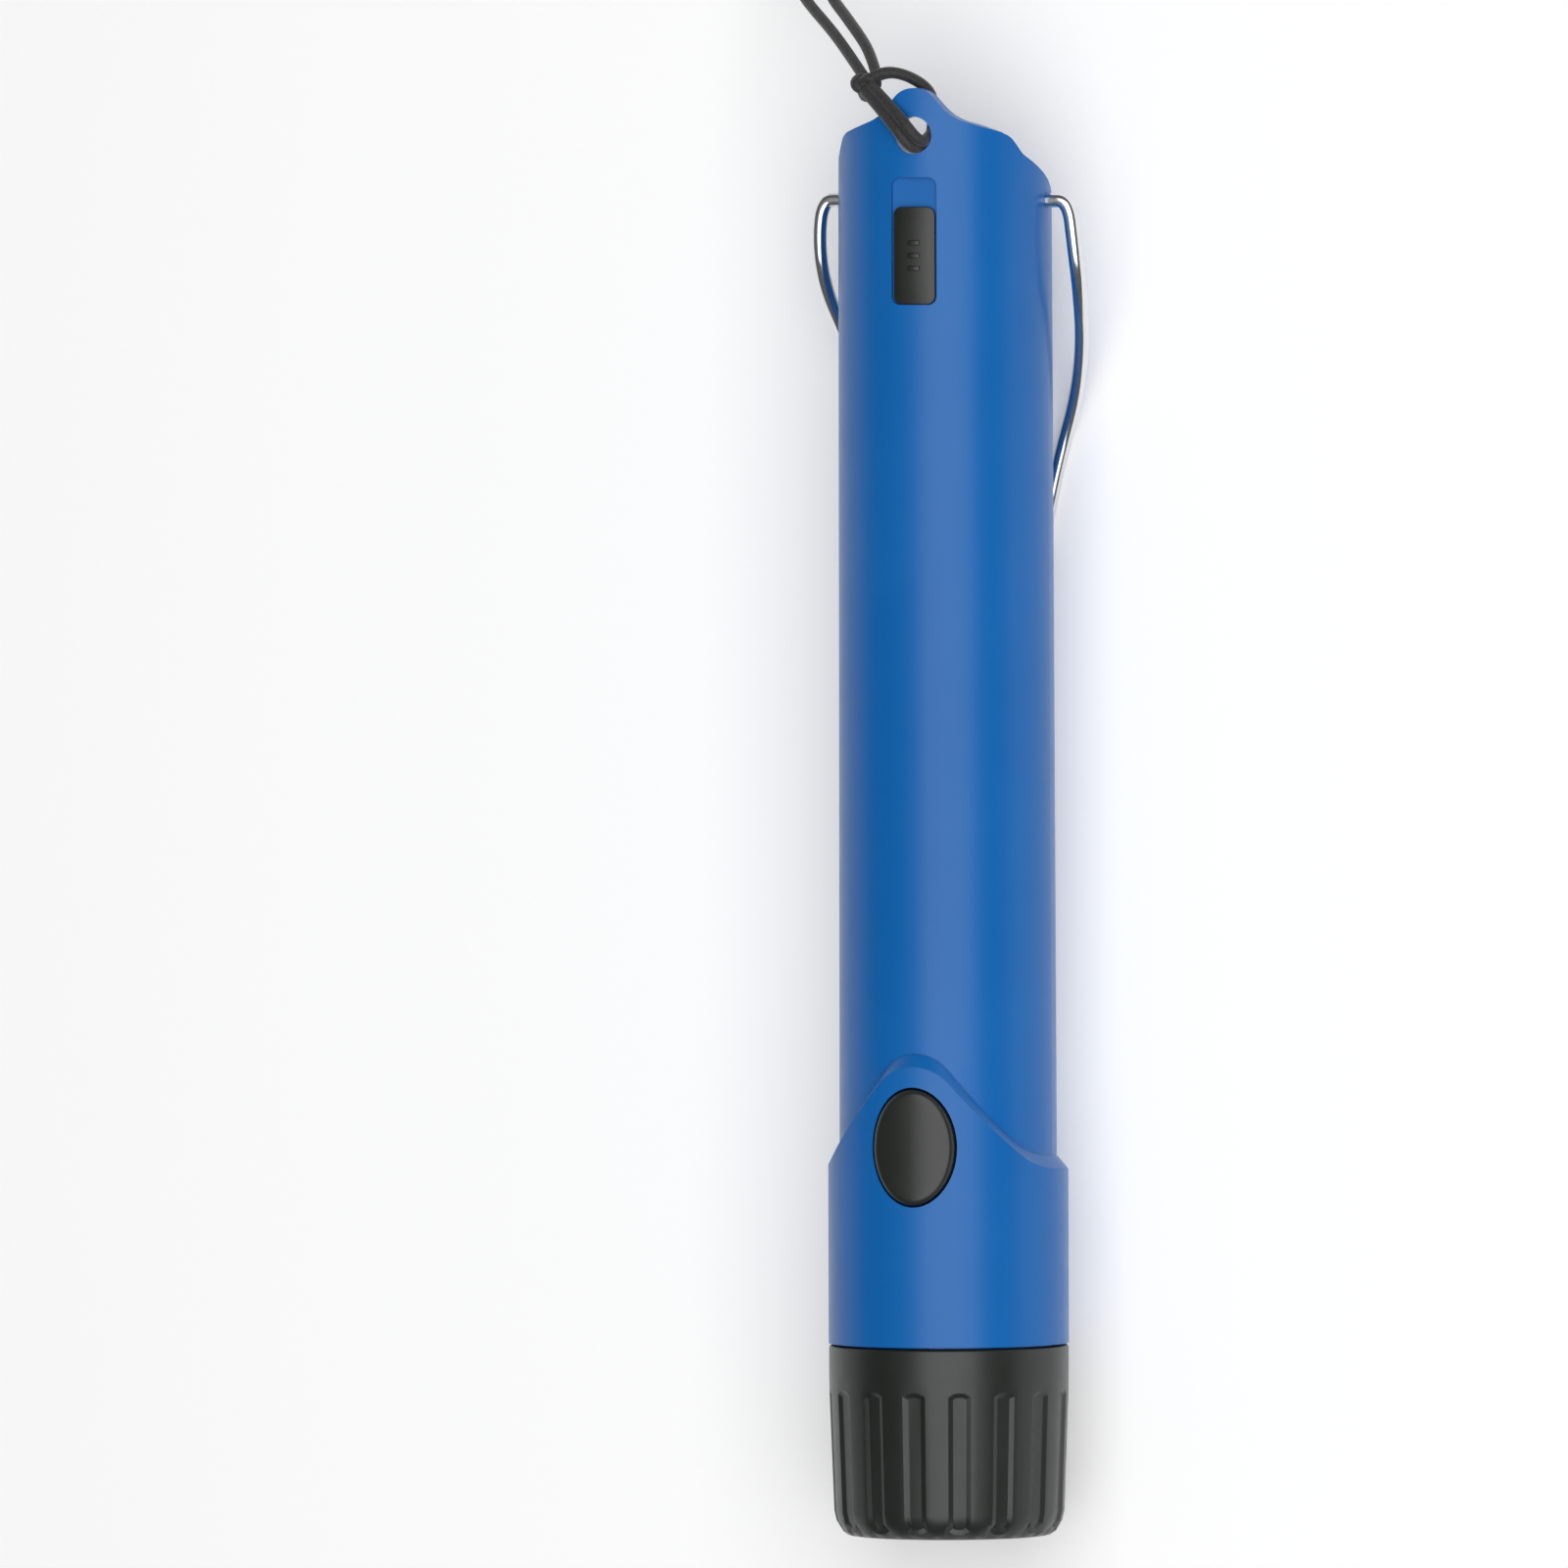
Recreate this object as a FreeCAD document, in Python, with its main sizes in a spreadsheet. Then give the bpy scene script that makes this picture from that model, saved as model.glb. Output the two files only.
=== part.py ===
"""A handheld metal-detecting probe, lying on its back on its wire clip.

The probe is drawn upright first: its axis is Z, its nose stands on z = 0, its front
(push button and slide switch) faces -Y and the cord tab is at the top. Each piece then
gets the same placement, which lays the probe down: the tab points to +Y, the front
faces +Z, and the clip's lowest point is on z = 0. The cord is drawn where it lies.
"""
import FreeCAD, Part
import Sketcher
import math
import os
from FreeCAD import Placement, Rotation, Vector

doc = FreeCAD.newDocument("probe")

# ---------------------------------------------------------------- driving dimensions, mm
SIZES = {
    # overall
    "probe_length": 215.2,
    "fit_gap": 0.1,
    "moving_gap": 0.3,
    "pivot_gap": 0.05,
    # barrel
    "barrel_foot_radius": 16.2,
    "barrel_head_radius": 15.8,
    "bore_radius": 13.4,
    "shoulder_drop": 5.0,
    "shoulder_degrees": 19.0,
    "rim_front": 10.1,
    "rim_start_degrees": 16.0,
    "rim_crest": 9.2,
    "rim_crest_drop": 2.0,
    "rim_crest_radius": 3.5,
    "rim_dip": 6.9,
    "rim_dip_drop": 4.9,
    "rim_dip_radius": 3.0,
    "rim_knee_drop": 8.7,
    "well_front": 13.4,
    "well_front_drop": 4.9,
    "well_knee_drop": 9.7,
    "knee": 0.5,
    "knee_radius": 6.0,
    "slope_degrees": 31.0,
    "web_thick": 4.0,
    "tab_crown_radius": 4.0,
    "tab_foot_radius": 7.0,
    "tab_side_degrees": 50.0,
    "cord_hole_radius": 2.75,
    "cord_hole_drop": 7.0,
    # nose cap and its bayonet
    "nose_radius": 17.8,
    "nose_foot_radius": 17.1,
    "nose_height": 28.4,
    "nose_floor": 2.5,
    "nose_bore_radius": 15.7,
    "nose_corner": 3.2,
    "flute_width": 3.6,
    "flute_depth": 0.9,
    "flute_low": 2.8,
    "flute_high": 21.9,
    "flute_count": 16.0,
    "spigot_foot": 10.0,
    "lug_reach": 0.8,
    "lug_width": 4.0,
    "lug_low": 24.2,
    "lug_tall": 2.0,
    "lug_count": 3.0,
    "turn_degrees": 45.0,
    "seal_height": 19.0,
    "seal_section_radius": 0.7,
    # front sleeve
    "sleeve_radius": 17.85,
    "sleeve_back_high": 56.1,
    "arch_high": 72.0,
    "arch_crown_radius": 6.0,
    "arch_foot_radius": 6.0,
    "arch_side_degrees": 52.0,
    "sleeve_bevel_deep": 1.4,
    "sleeve_bevel_long": 1.7,
    # push button
    "button_high": 58.4,
    "button_half_width": 6.25,
    "button_half_tall": 8.6,
    "button_proud": 0.7,
    "button_travel": 1.0,
    "button_lip": 1.0,
    "button_lip_thick": 1.2,
    # slide switch
    "slide_low": 183.1,
    "slide_recess_long": 18.9,
    "slide_recess_wide": 7.0,
    "slide_recess_depth": 1.0,
    "slide_corner": 1.3,
    "slide_knob_long": 14.4,
    "slide_stem_wide": 2.6,
    "slide_stem_long": 5.0,
    "slide_travel": 4.0,
    # wire clip
    "wire_radius": 1.1,
    "clip_pivot_high": 198.4,
    "clip_reach": 3.6,
    "clip_socket_depth": 5.0,
    "clip_long": 55.4,
    "clip_back_gap": 0.35,
    "clip_foot_half": 8.5,
    # chassis and electronics
    "chassis_wall": 1.2,
    "chassis_high": 186.0,
    "board_level": 4.4,
    "board_thick": 1.6,
    "board_half_wide": 11.6,
    "main_board_low": 30.0,
    "main_board_high": 116.0,
    "switch_board_low": 176.0,
    "switch_board_high": 197.6,
    "screw_radius": 1.0,
    "screw_head_radius": 1.9,
    "screw_head_tall": 1.2,
    "screw_long": 7.0,
    "post_radius": 2.6,
    "tactile_wide": 6.0,
    "tactile_deep": 3.5,
    "plunger_radius": 1.7,
    "switch_body_wide": 7.0,
    "switch_body_deep": 5.0,
    "chip_wide": 7.0,
    "chip_deep": 1.4,
    "chip_low": 88.0,
    "capacitor_radius": 2.5,
    "capacitor_tall": 4.5,
    "buzzer_radius": 6.0,
    "buzzer_tall": 4.0,
    "buzzer_high": 78.0,
    "motor_radius": 2.5,
    "motor_long": 12.0,
    "motor_high": 34.0,
    # search coil
    "bulkhead_low": 24.0,
    "bulkhead_thick": 2.0,
    "core_radius": 3.5,
    "former_wall": 1.2,
    "former_flange_radius": 10.5,
    "former_low": 4.0,
    "coil_radius": 9.5,
    "coil_tall": 12.0,
    # battery pack
    "cell_radius": 5.25,
    "cell_long": 44.5,
    "cell_ring": 6.4,
    "pack_low": 121.0,
    "pack_plate": 2.0,
    "pack_radius": 11.9,
    "spring_tall": 3.0,
    "contact_thick": 0.5,
    # wrist cord
    "cord_radius": 0.85,
    "knot_radius": 2.3,
    "hank_radius": 9.5,
}

sheet = doc.addObject("Spreadsheet::Sheet", "Sizes")
for row, (alias, number) in enumerate(SIZES.items(), start=1):
    sheet.set("A%d" % row, alias)
    sheet.set("B%d" % row, str(number))
    sheet.setAlias("B%d" % row, alias)
doc.recompute()


class Size:
    """A length with the sheet expression that gives it, so that features can be bound."""

    def __init__(self, number, words):
        self.number = float(number)
        self.words = words

    def made(self, other, sign, number, turned=False):
        pair = (words(other), self.words) if turned else (self.words, words(other))
        return Size(number, "(%s %s %s)" % (pair[0], sign, pair[1]))

    def __float__(self):
        return self.number

    def __neg__(self):
        return Size(-self.number, "(0 - %s)" % self.words)

    def __add__(self, other):
        return self.made(other, "+", self.number + float(other))

    def __radd__(self, other):
        return self.made(other, "+", float(other) + self.number, turned=True)

    def __sub__(self, other):
        return self.made(other, "-", self.number - float(other))

    def __rsub__(self, other):
        return self.made(other, "-", float(other) - self.number, turned=True)

    def __mul__(self, other):
        return self.made(other, "*", self.number * float(other))

    def __rmul__(self, other):
        return self.made(other, "*", float(other) * self.number, turned=True)

    def __truediv__(self, other):
        return self.made(other, "/", self.number / float(other))


def words(value):
    return value.words if isinstance(value, Size) else repr(float(value))


def size(name):
    return Size(getattr(sheet, name), "Sizes." + name)


def bind(thing, prop, value):
    """Sets a property, and ties it to the sheet when the value comes from there."""
    if isinstance(value, Size):
        thing.setExpression(prop, value.words)
    elif "." not in prop:
        setattr(thing, prop, value)
    else:
        thing.setExpression(prop, repr(float(value)))


# ---------------------------------------------------------------- helpers for primitives
TURNS = {
    "Z": Rotation(),
    "X": Rotation(Vector(0, 1, 0), 90),
    "Y": Rotation(Vector(1, 0, 0), -90),
}


def put(thing, x=0, y=0, z=0, along="Z"):
    thing.Placement = Placement(Vector(), TURNS[along])
    for letter, value in zip("xyz", (x, y, z)):
        bind(thing, "Placement.Base." + letter, value)
    return thing


def rod(name, radius, long, x=0, y=0, z=0, along="Z"):
    """A cylinder from the given point towards +Z, +X or +Y."""
    thing = doc.addObject("Part::Cylinder", name)
    bind(thing, "Radius", radius)
    bind(thing, "Height", long)
    return put(thing, x, y, z, along)


def block(name, wide, deep, tall, y, z, x=None):
    """A box centred on x = 0 unless its low x is given; y and z are its low sides."""
    thing = doc.addObject("Part::Box", name)
    bind(thing, "Length", wide)
    bind(thing, "Width", deep)
    bind(thing, "Height", tall)
    return put(thing, -1 * wide / 2 if x is None else x, y, z)


def rounded(name, thing, radius):
    """A block whose four edges along Y are rounded."""
    doc.recompute()
    soft = doc.addObject("Part::Fillet", name)
    soft.Base = thing
    along_y = [
        index for index, edge in enumerate(thing.Shape.Edges, start=1)
        if abs(edge.tangentAt(edge.FirstParameter).y) > 0.999
    ]
    soft.Edges = [(index, radius.number, radius.number) for index in along_y]
    return soft


def oval(name, half_wide, half_tall, near, far, z):
    """An oval bar along Y, from y = near to y = far, tall along Z."""
    rim = doc.addObject("Part::Ellipse", name + "_rim")
    bind(rim, "MajorRadius", half_tall)
    bind(rim, "MinorRadius", half_wide)
    rim.Placement = Placement(Vector(), Rotation(Vector(0, 1, 0), -90) * Rotation(Vector(1, 0, 0), 90))
    bind(rim, "Placement.Base.y", near)
    bind(rim, "Placement.Base.z", z)
    bar = doc.addObject("Part::Extrusion", name)
    bar.Base = rim
    bar.DirMode = "Custom"
    bar.Dir = Vector(0, 1, 0)
    bar.Solid = True
    bind(bar, "LengthFwd", far - near)
    return bar


def fuse(name, things):
    joined = doc.addObject("Part::MultiFuse", name)
    joined.Shapes = things
    return joined


def cut(name, base, tools):
    less = doc.addObject("Part::Cut", name)
    less.Base = base
    less.Tool = tools[0] if len(tools) == 1 else fuse(name + "_tools", tools)
    return less


def common(name, one, other):
    both = doc.addObject("Part::Common", name)
    both.Base = one
    both.Tool = other
    return both


def plain(name, shape):
    """A shape that has no parametric feature of its own."""
    thing = doc.addObject("Part::Feature", name)
    thing.Shape = shape
    return thing


# ---------------------------------------------------------------- helpers for sketched bodies
def new_body(label):
    body = doc.addObject("PartDesign::Body", label + "_body")
    body.Label = label
    return body


def sketch_on(body, role, name, points):
    """A closed outline on one of the body's own planes, each corner bound to the sheet."""
    sketch = body.newObject("Sketcher::SketchObject", name)
    plane = next(part for part in body.Origin.OriginFeatures if part.Role == role)
    sketch.AttachmentSupport = [(plane, "")]
    sketch.MapMode = "FlatFace"
    spots = [Vector(float(a), float(b), 0) for a, b in points]
    for here, there in zip(spots, spots[1:] + spots[:1]):
        sketch.addGeometry(Part.LineSegment(here, there))
    count = len(points)
    for index in range(count):
        sketch.addConstraint(Sketcher.Constraint("Coincident", index, 2, (index + 1) % count, 1))
    for index, pair in enumerate(points):
        for kind, axis, value in (("DistanceX", -2, pair[0]), ("DistanceY", -1, pair[1])):
            if float(value) == 0:
                sketch.addConstraint(Sketcher.Constraint("PointOnObject", index, 1, axis))
            else:
                made = sketch.addConstraint(Sketcher.Constraint(kind, -1, 1, index, 1, float(value)))
                if isinstance(value, Size):
                    sketch.setExpression("Constraints[%d]" % made, value.words)
    return sketch


def turned(body, name, points, kind="Revolution", degrees=360):
    """A solid of revolution about Z, or a groove, from an outline of (radius, height)."""
    sketch = sketch_on(body, "XZ_Plane", name + "_outline", points)
    feature = body.newObject("PartDesign::" + kind, name)
    feature.Profile = sketch
    feature.ReferenceAxis = (sketch, ["V_Axis"])
    bind(feature, "Angle", degrees)
    return feature


def ring_of(body, feature, count, name):
    """Repeats a feature evenly about Z."""
    pattern = body.newObject("PartDesign::PolarPattern", name)
    pattern.Originals = [feature]
    axis = next(part for part in body.Origin.OriginFeatures if part.Role == "Z_Axis")
    pattern.Axis = (axis, [""])
    pattern.Angle = 360
    bind(pattern, "Occurrences", count)
    body.Tip = pattern
    return pattern


# ---------------------------------------------------------------- named sizes
length = size("probe_length")
gap = size("moving_gap")
fit = size("fit_gap")
bore = size("bore_radius")
foot_radius = size("barrel_foot_radius")
head_radius = size("barrel_head_radius")
nose_high = size("nose_height")
sleeve_low = nose_high + gap
axis_height = (
    foot_radius + size("clip_back_gap") + 2 * size("wire_radius")
)  # from the barrel's axis to the clip's lowest point


def bell(top, crown, foot, side_degrees, shoulder, shoulder_degrees, edge):
    """Half of a bell-shaped edge, in x and z: its crown, side, foot and falling shoulder."""
    turn = math.radians(side_degrees)
    fall = math.radians(shoulder_degrees)
    crown_end = Vector(crown * math.sin(turn), 0, top - crown + crown * math.cos(turn))
    foot_start_z = shoulder + foot * (math.cos(fall) - math.cos(turn))
    foot_start = Vector(
        crown_end.x + (crown_end.z - foot_start_z) / math.tan(turn), 0, foot_start_z
    )
    foot_middle = foot_start + foot * Vector(math.sin(turn), 0, math.cos(turn))
    foot_end = foot_middle - foot * Vector(math.sin(fall), 0, math.cos(fall))
    half = turn / 2
    crown_mid = Vector(crown * math.sin(half), 0, top - crown + crown * math.cos(half))
    half = (turn + fall) / 2
    foot_mid = foot_middle - foot * Vector(math.sin(half), 0, math.cos(half))
    outer_end = Vector(edge, 0, shoulder - (edge - foot_end.x) * math.tan(fall))
    return [
        Part.Arc(Vector(0, 0, top), crown_mid, crown_end).toShape(),
        Part.LineSegment(crown_end, foot_start).toShape(),
        Part.Arc(foot_start, foot_mid, foot_end).toShape(),
        Part.LineSegment(foot_end, outer_end).toShape(),
    ]


def above_bell(name, edges, roof, near, far):
    """Everything above a bell-shaped edge, from y = near to y = far, both sides of x = 0."""
    far_end = edges[-1].Vertexes[-1].Point
    start = edges[0].Vertexes[0].Point
    rest = Part.makePolygon(
        [far_end, Vector(far_end.x, 0, roof), Vector(0, 0, roof), start]
    ).Edges
    half = Part.Face(Part.Wire(edges + rest)).extrude(Vector(0, far - near, 0))
    half.translate(Vector(0, near, 0))
    return plain(name, half.fuse(half.mirror(Vector(), Vector(1, 0, 0))).removeSplitter())


# ---------------------------------------------------------------- barrel
TOP = float(length)
SHOULDER = TOP - float(size("shoulder_drop"))
WIDE = 3 * float(foot_radius)
FALL = math.tan(math.radians(float(size("slope_degrees"))))


def rounded_path(points, radii):
    """Straight runs through the points, with a tangent arc of the given radius at each corner."""
    edges = []
    here = points[0]
    for before, corner, after, radius in zip(points, points[1:], points[2:], radii):
        into = (corner - before).normalize()
        out = (after - corner).normalize()
        bend = into.getAngle(out)
        reach = radius * math.tan(bend / 2)
        start = corner - into * reach
        end = corner + out * reach
        inward = (out - into).normalize()
        centre = corner + inward * (radius / math.cos(bend / 2))
        middle = centre - inward * radius
        edges.append(Part.LineSegment(here, start).toShape())
        edges.append(Part.Arc(start, middle, end).toShape())
        here = end
    edges.append(Part.LineSegment(here, points[-1]).toShape())
    return Part.Wire(edges)


def above_slope(name, steps, front_degrees=0.0, lower=0.0):
    """Everything above a rounded slope, whose corners are (y, drop below the shoulder, radius)."""
    corners = [(y, SHOULDER - drop - lower) for y, drop, radius in steps]
    rise = math.tan(math.radians(front_degrees))
    front_z = corners[0][1] + (WIDE + corners[0][0]) * rise
    back_z = corners[-1][1] - (WIDE - corners[-1][0]) * FALL
    side = [(-WIDE, front_z)] + corners + [(WIDE, back_z)]
    points = [Vector(-WIDE / 2, y, z) for y, z in side]
    slope = rounded_path(points, [radius for y, drop, radius in steps])
    roof = [Vector(-WIDE / 2, y, TOP + WIDE) for y in (WIDE, -WIDE)]
    rest = Part.makePolygon([points[-1]] + roof + [points[0]])
    face = Part.Face(Part.Wire(slope.Edges + rest.Edges))
    return plain(name, face.extrude(Vector(WIDE, 0, 0)))


KNEE = float(size("knee"))
KNEE_RADIUS = float(size("knee_radius"))
RIM_STEPS = [
    (-float(size("rim_crest")), float(size("rim_crest_drop")), float(size("rim_crest_radius"))),
    (-float(size("rim_dip")), float(size("rim_dip_drop")), float(size("rim_dip_radius"))),
    (KNEE, float(size("rim_knee_drop")), KNEE_RADIUS),
]
WELL_STEPS = [
    (-float(size("well_front")), float(size("well_front_drop")), KNEE_RADIUS),
    (KNEE, float(size("well_knee_drop")), KNEE_RADIUS),
]


def make_barrel():
    """The blue tube: spigot, tapered wall, sloping closed top and the tab for the cord."""
    spigot_radius = size("nose_bore_radius") - gap
    spigot = rod("barrel_spigot", spigot_radius, sleeve_low - size("spigot_foot"),
                 z=size("spigot_foot"))
    wall = doc.addObject("Part::Cone", "barrel_wall")
    bind(wall, "Radius1", foot_radius)
    bind(wall, "Radius2", head_radius)
    bind(wall, "Height", length - sleeve_low)
    put(wall, z=sleeve_low)
    lugs = [
        block("barrel_lug_%d" % index, size("lug_width"), spigot_radius + size("lug_reach"),
              size("lug_tall"), 0, size("lug_low"))
        for index in range(int(size("lug_count").number))
    ]
    for index, lug in enumerate(lugs):
        angle = 360.0 * index / len(lugs)
        lug.Placement = Placement(Vector(), Rotation(Vector(0, 0, 1), angle)) * lug.Placement
        turn = math.radians(angle)
        half = size("lug_width") / 2
        lug.setExpression("Placement.Base.x", words(half * -math.cos(turn)))
        lug.setExpression("Placement.Base.y", words(half * -math.sin(turn)))
    outside = fuse("barrel_outside", [spigot, wall] + lugs)

    web_top = above_slope("barrel_web_top", WELL_STEPS)
    well = common("barrel_well", rod("barrel_well_bore", bore, length), web_top)
    below = above_slope("barrel_web_foot", WELL_STEPS, lower=float(size("web_thick")))
    inside = cut("barrel_inside", rod("barrel_bore", bore, length), [below])
    front_wall = -1 * foot_radius - 1

    rim = above_slope("barrel_rim", RIM_STEPS, float(size("rim_start_degrees")))
    behind_tab = common(
        "barrel_rim_back", rim,
        block("barrel_rim_side", 3 * foot_radius, 3 * foot_radius, length,
              -1 * size("rim_front"), length / 2),
    )
    outline = above_bell(
        "barrel_shoulders",
        bell(TOP, float(size("tab_crown_radius")), float(size("tab_foot_radius")),
             float(size("tab_side_degrees")), SHOULDER, float(size("shoulder_degrees")),
             float(foot_radius) + 4),
        TOP + 10, -2 * float(foot_radius), 2 * float(foot_radius),
    )
    hole = rod("barrel_cord_hole", size("cord_hole_radius"), 2 * foot_radius, y=front_wall,
               z=length - size("cord_hole_drop"), along="Y")
    socket_radius = size("wire_radius") + size("pivot_gap")
    socket_long = size("clip_socket_depth") + 1
    pivot = size("clip_pivot_high")
    sockets = [
        rod("barrel_socket_right", socket_radius, socket_long,
            x=head_radius - size("clip_socket_depth"), z=pivot, along="X"),
        rod("barrel_socket_left", socket_radius, socket_long, x=-1 * head_radius - 1,
            z=pivot, along="X"),
    ]
    recess_floor = head_radius - size("slide_recess_depth")
    recess = rounded(
        "barrel_slide_recess",
        block("barrel_slide_recess_block", size("slide_recess_wide"),
              1 + foot_radius - recess_floor, size("slide_recess_long"), front_wall,
              size("slide_low")),
        size("slide_corner"),
    )
    stem_low = slide_middle - size("slide_stem_long") / 2 - gap
    slot = block("barrel_slide_slot", size("slide_stem_wide") + 2 * gap, foot_radius - bore + 4,
                 size("slide_stem_long") + size("slide_travel") + 2 * gap, front_wall, stem_low)
    button_way = oval("barrel_button_way", size("button_half_width") + gap,
                      size("button_half_tall") + gap, front_wall, -1 * bore + 6,
                      size("button_high"))
    groove = cut(
        "barrel_seal_groove",
        rod("barrel_groove_outer", spigot_radius + 1, seal_tall, z=seal_low),
        [rod("barrel_groove_inner", seal_floor, seal_tall, z=seal_low)],
    )
    tools = [well, inside, behind_tab, outline, hole, recess, slot, button_way, groove]
    return cut("barrel", outside, tools + sockets)


slide_middle = size("slide_low") + fit + size("slide_knob_long") / 2
seal_floor = size("nose_bore_radius") - 0.05 - 2 * size("seal_section_radius")
seal_tall = 2 * size("seal_section_radius") + 2 * fit
seal_low = size("seal_height") - size("seal_section_radius") - fit


def arch_height(x):
    """The height of the sleeve's bell-shaped edge at a distance from its middle."""
    top = float(size("arch_high"))
    crown = float(size("arch_crown_radius"))
    foot = float(size("arch_foot_radius"))
    shoulder = float(size("sleeve_back_high"))
    turn = math.radians(float(size("arch_side_degrees")))
    crown_end = crown * math.sin(turn)
    crown_end_z = top - crown + crown * math.cos(turn)
    foot_start_z = shoulder + foot * (1 - math.cos(turn))
    foot_start = crown_end + (crown_end_z - foot_start_z) / math.tan(turn)
    foot_end = foot_start + foot * math.sin(turn)
    if x < crown_end:
        return top - crown + math.sqrt(crown ** 2 - x ** 2)
    if x < foot_start:
        return crown_end_z - (x - crown_end) * math.tan(turn)
    if x < foot_end:
        return shoulder + foot - math.sqrt(foot ** 2 - (foot_end - x) ** 2)
    return shoulder


def edge_ring(radius, lower):
    """The sleeve's edge as a closed curve at a radius, lowered by an amount."""
    inner = float(foot_radius)
    shoulder = float(size("sleeve_back_high"))
    steps = 72
    spots = []
    for step in range(steps):
        angle = 2 * math.pi * step / steps
        side_height = arch_height(inner * abs(math.sin(angle)))
        fade = min(1.0, max(0.0, 1 + 3 * math.cos(angle)))
        height = shoulder + (side_height - shoulder) * fade
        spots.append(Vector(radius * math.sin(angle), -radius * math.cos(angle), height - lower))
    curve = Part.BSplineCurve()
    curve.interpolate(Points=spots, PeriodicFlag=True)
    return Part.Wire(curve.toShape())


def level_ring(radius, height):
    """A level ring whose seam is at the front, as the edge's is."""
    ring = Part.Circle(Vector(0, 0, height), Vector(0, 0, 1), radius).toShape()
    ring.rotate(Vector(), Vector(0, 0, 1), -90)
    return Part.Wire(ring)


def above_sleeve():
    """Everything above the sleeve's edge, which slopes down and outwards as a bevel."""
    deep = float(size("sleeve_bevel_deep"))
    fall = float(size("sleeve_bevel_long")) / deep
    outer = float(size("sleeve_radius"))
    start = outer - deep
    near = start - 1
    far = outer + 1
    roof = float(size("arch_high")) + 10
    return Part.makeLoft([
        level_ring(near, roof), edge_ring(near, -fall), edge_ring(far, (far - start) * fall),
        level_ring(far, roof + 10),
    ], True, True)


def make_front_sleeve():
    """The wider blue sleeve, whose bevelled top edge arches over the push button."""
    body = rod("sleeve_outside", size("sleeve_radius"), size("arch_high") + 1 - sleeve_low,
               z=sleeve_low)
    hollow = rod("sleeve_hollow", foot_radius + fit, length, z=0)
    above = plain("sleeve_above", above_sleeve())
    button_way = oval("sleeve_button_way", size("button_half_width") + gap,
                      size("button_half_tall") + gap, -2 * size("sleeve_radius"), 0,
                      size("button_high"))
    return cut("front_sleeve", body, [hollow, above, button_way])


# ---------------------------------------------------------------- nose cap
def make_nose_cap():
    """The black cap: a cup with grip flutes outside and bayonet channels inside."""
    body = new_body("nose_cap")
    outer = size("nose_radius")
    foot = size("nose_foot_radius")
    corner = size("nose_corner")
    inner = size("nose_bore_radius")
    floor = size("nose_floor")
    turned(body, "nose_cup", [
        (0, 0), (foot - corner, 0), (foot - corner / 3, corner / 3), (foot, corner),
        (outer, size("flute_high")), (outer, nose_high), (inner, nose_high),
        (inner, floor), (0, floor),
    ])
    doc.recompute()
    half = size("flute_width") / 2
    flute_floor = foot - size("flute_depth")
    flute_sketch = sketch_on(body, "XY_Plane", "nose_flute_outline", [
        (-1 * half, -1 * outer - 1), (half, -1 * outer - 1), (half, -1 * flute_floor),
        (-1 * half, -1 * flute_floor),
    ])
    bind(flute_sketch, "AttachmentOffset.Base.z", size("flute_low"))
    flute = body.newObject("PartDesign::Pocket", "nose_flute")
    flute.Profile = flute_sketch
    flute.Reversed = True
    bind(flute, "Length", size("flute_high") - size("flute_low"))
    ring_of(body, flute, size("flute_count"), "nose_flutes")
    doc.recompute()
    channel_radius = inner - gap + size("lug_reach") + gap
    lug_half_angle = math.degrees(float(size("lug_width") / 2) / float(inner)) + 2
    lug_low = size("lug_low") - gap
    lug_high = size("lug_low") + size("lug_tall") + gap
    channels = []
    for index in range(int(size("lug_count").number)):
        middle = 90 + 360.0 * index / size("lug_count").number
        sweep = float(size("turn_degrees")) + 2 * lug_half_angle
        start = middle - lug_half_angle - float(size("turn_degrees"))
        run = doc.addObject("Part::Cylinder", "nose_channel_%d" % index)
        bind(run, "Radius", channel_radius)
        bind(run, "Height", lug_high - lug_low)
        run.Angle = sweep
        run.Placement = Placement(Vector(), Rotation(Vector(0, 0, 1), start))
        bind(run, "Placement.Base.z", lug_low)
        entry = doc.addObject("Part::Cylinder", "nose_entry_%d" % index)
        bind(entry, "Radius", channel_radius)
        bind(entry, "Height", nose_high + 1 - lug_low)
        entry.Angle = 2 * lug_half_angle
        entry.Placement = Placement(Vector(), Rotation(Vector(0, 0, 1), start))
        bind(entry, "Placement.Base.z", lug_low)
        channels += [run, entry]
    return cut("nose_cap_piece", body, channels)


def make_cap_seal():
    ring = doc.addObject("Part::Torus", "cap_seal_ring")
    bind(ring, "Radius1", seal_floor + size("seal_section_radius"))
    bind(ring, "Radius2", size("seal_section_radius"))
    return put(ring, z=size("seal_height"))


# ---------------------------------------------------------------- controls
button_face = size("sleeve_radius") + size("button_proud")
button_root = size("board_level") + 6.2


def make_push_button():
    """An oval button with a crowned face, a lip that holds it in, and a short stem."""
    bar = oval("button_bar", size("button_half_width"), size("button_half_tall"),
               -1 * button_face - 1, -1 * button_root, size("button_high"))
    crown = rod("button_crown", button_face, 4 * size("button_half_tall"),
                z=size("button_high") - 2 * size("button_half_tall"))
    face = common("button_face", bar, crown)
    lip = oval("button_lip_bar", size("button_half_width"),
               size("button_half_tall") + size("button_lip"),
               -1 * button_root - size("button_lip_thick"), -1 * button_root,
               size("button_high"))
    return fuse("push_button", [face, lip])


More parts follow.
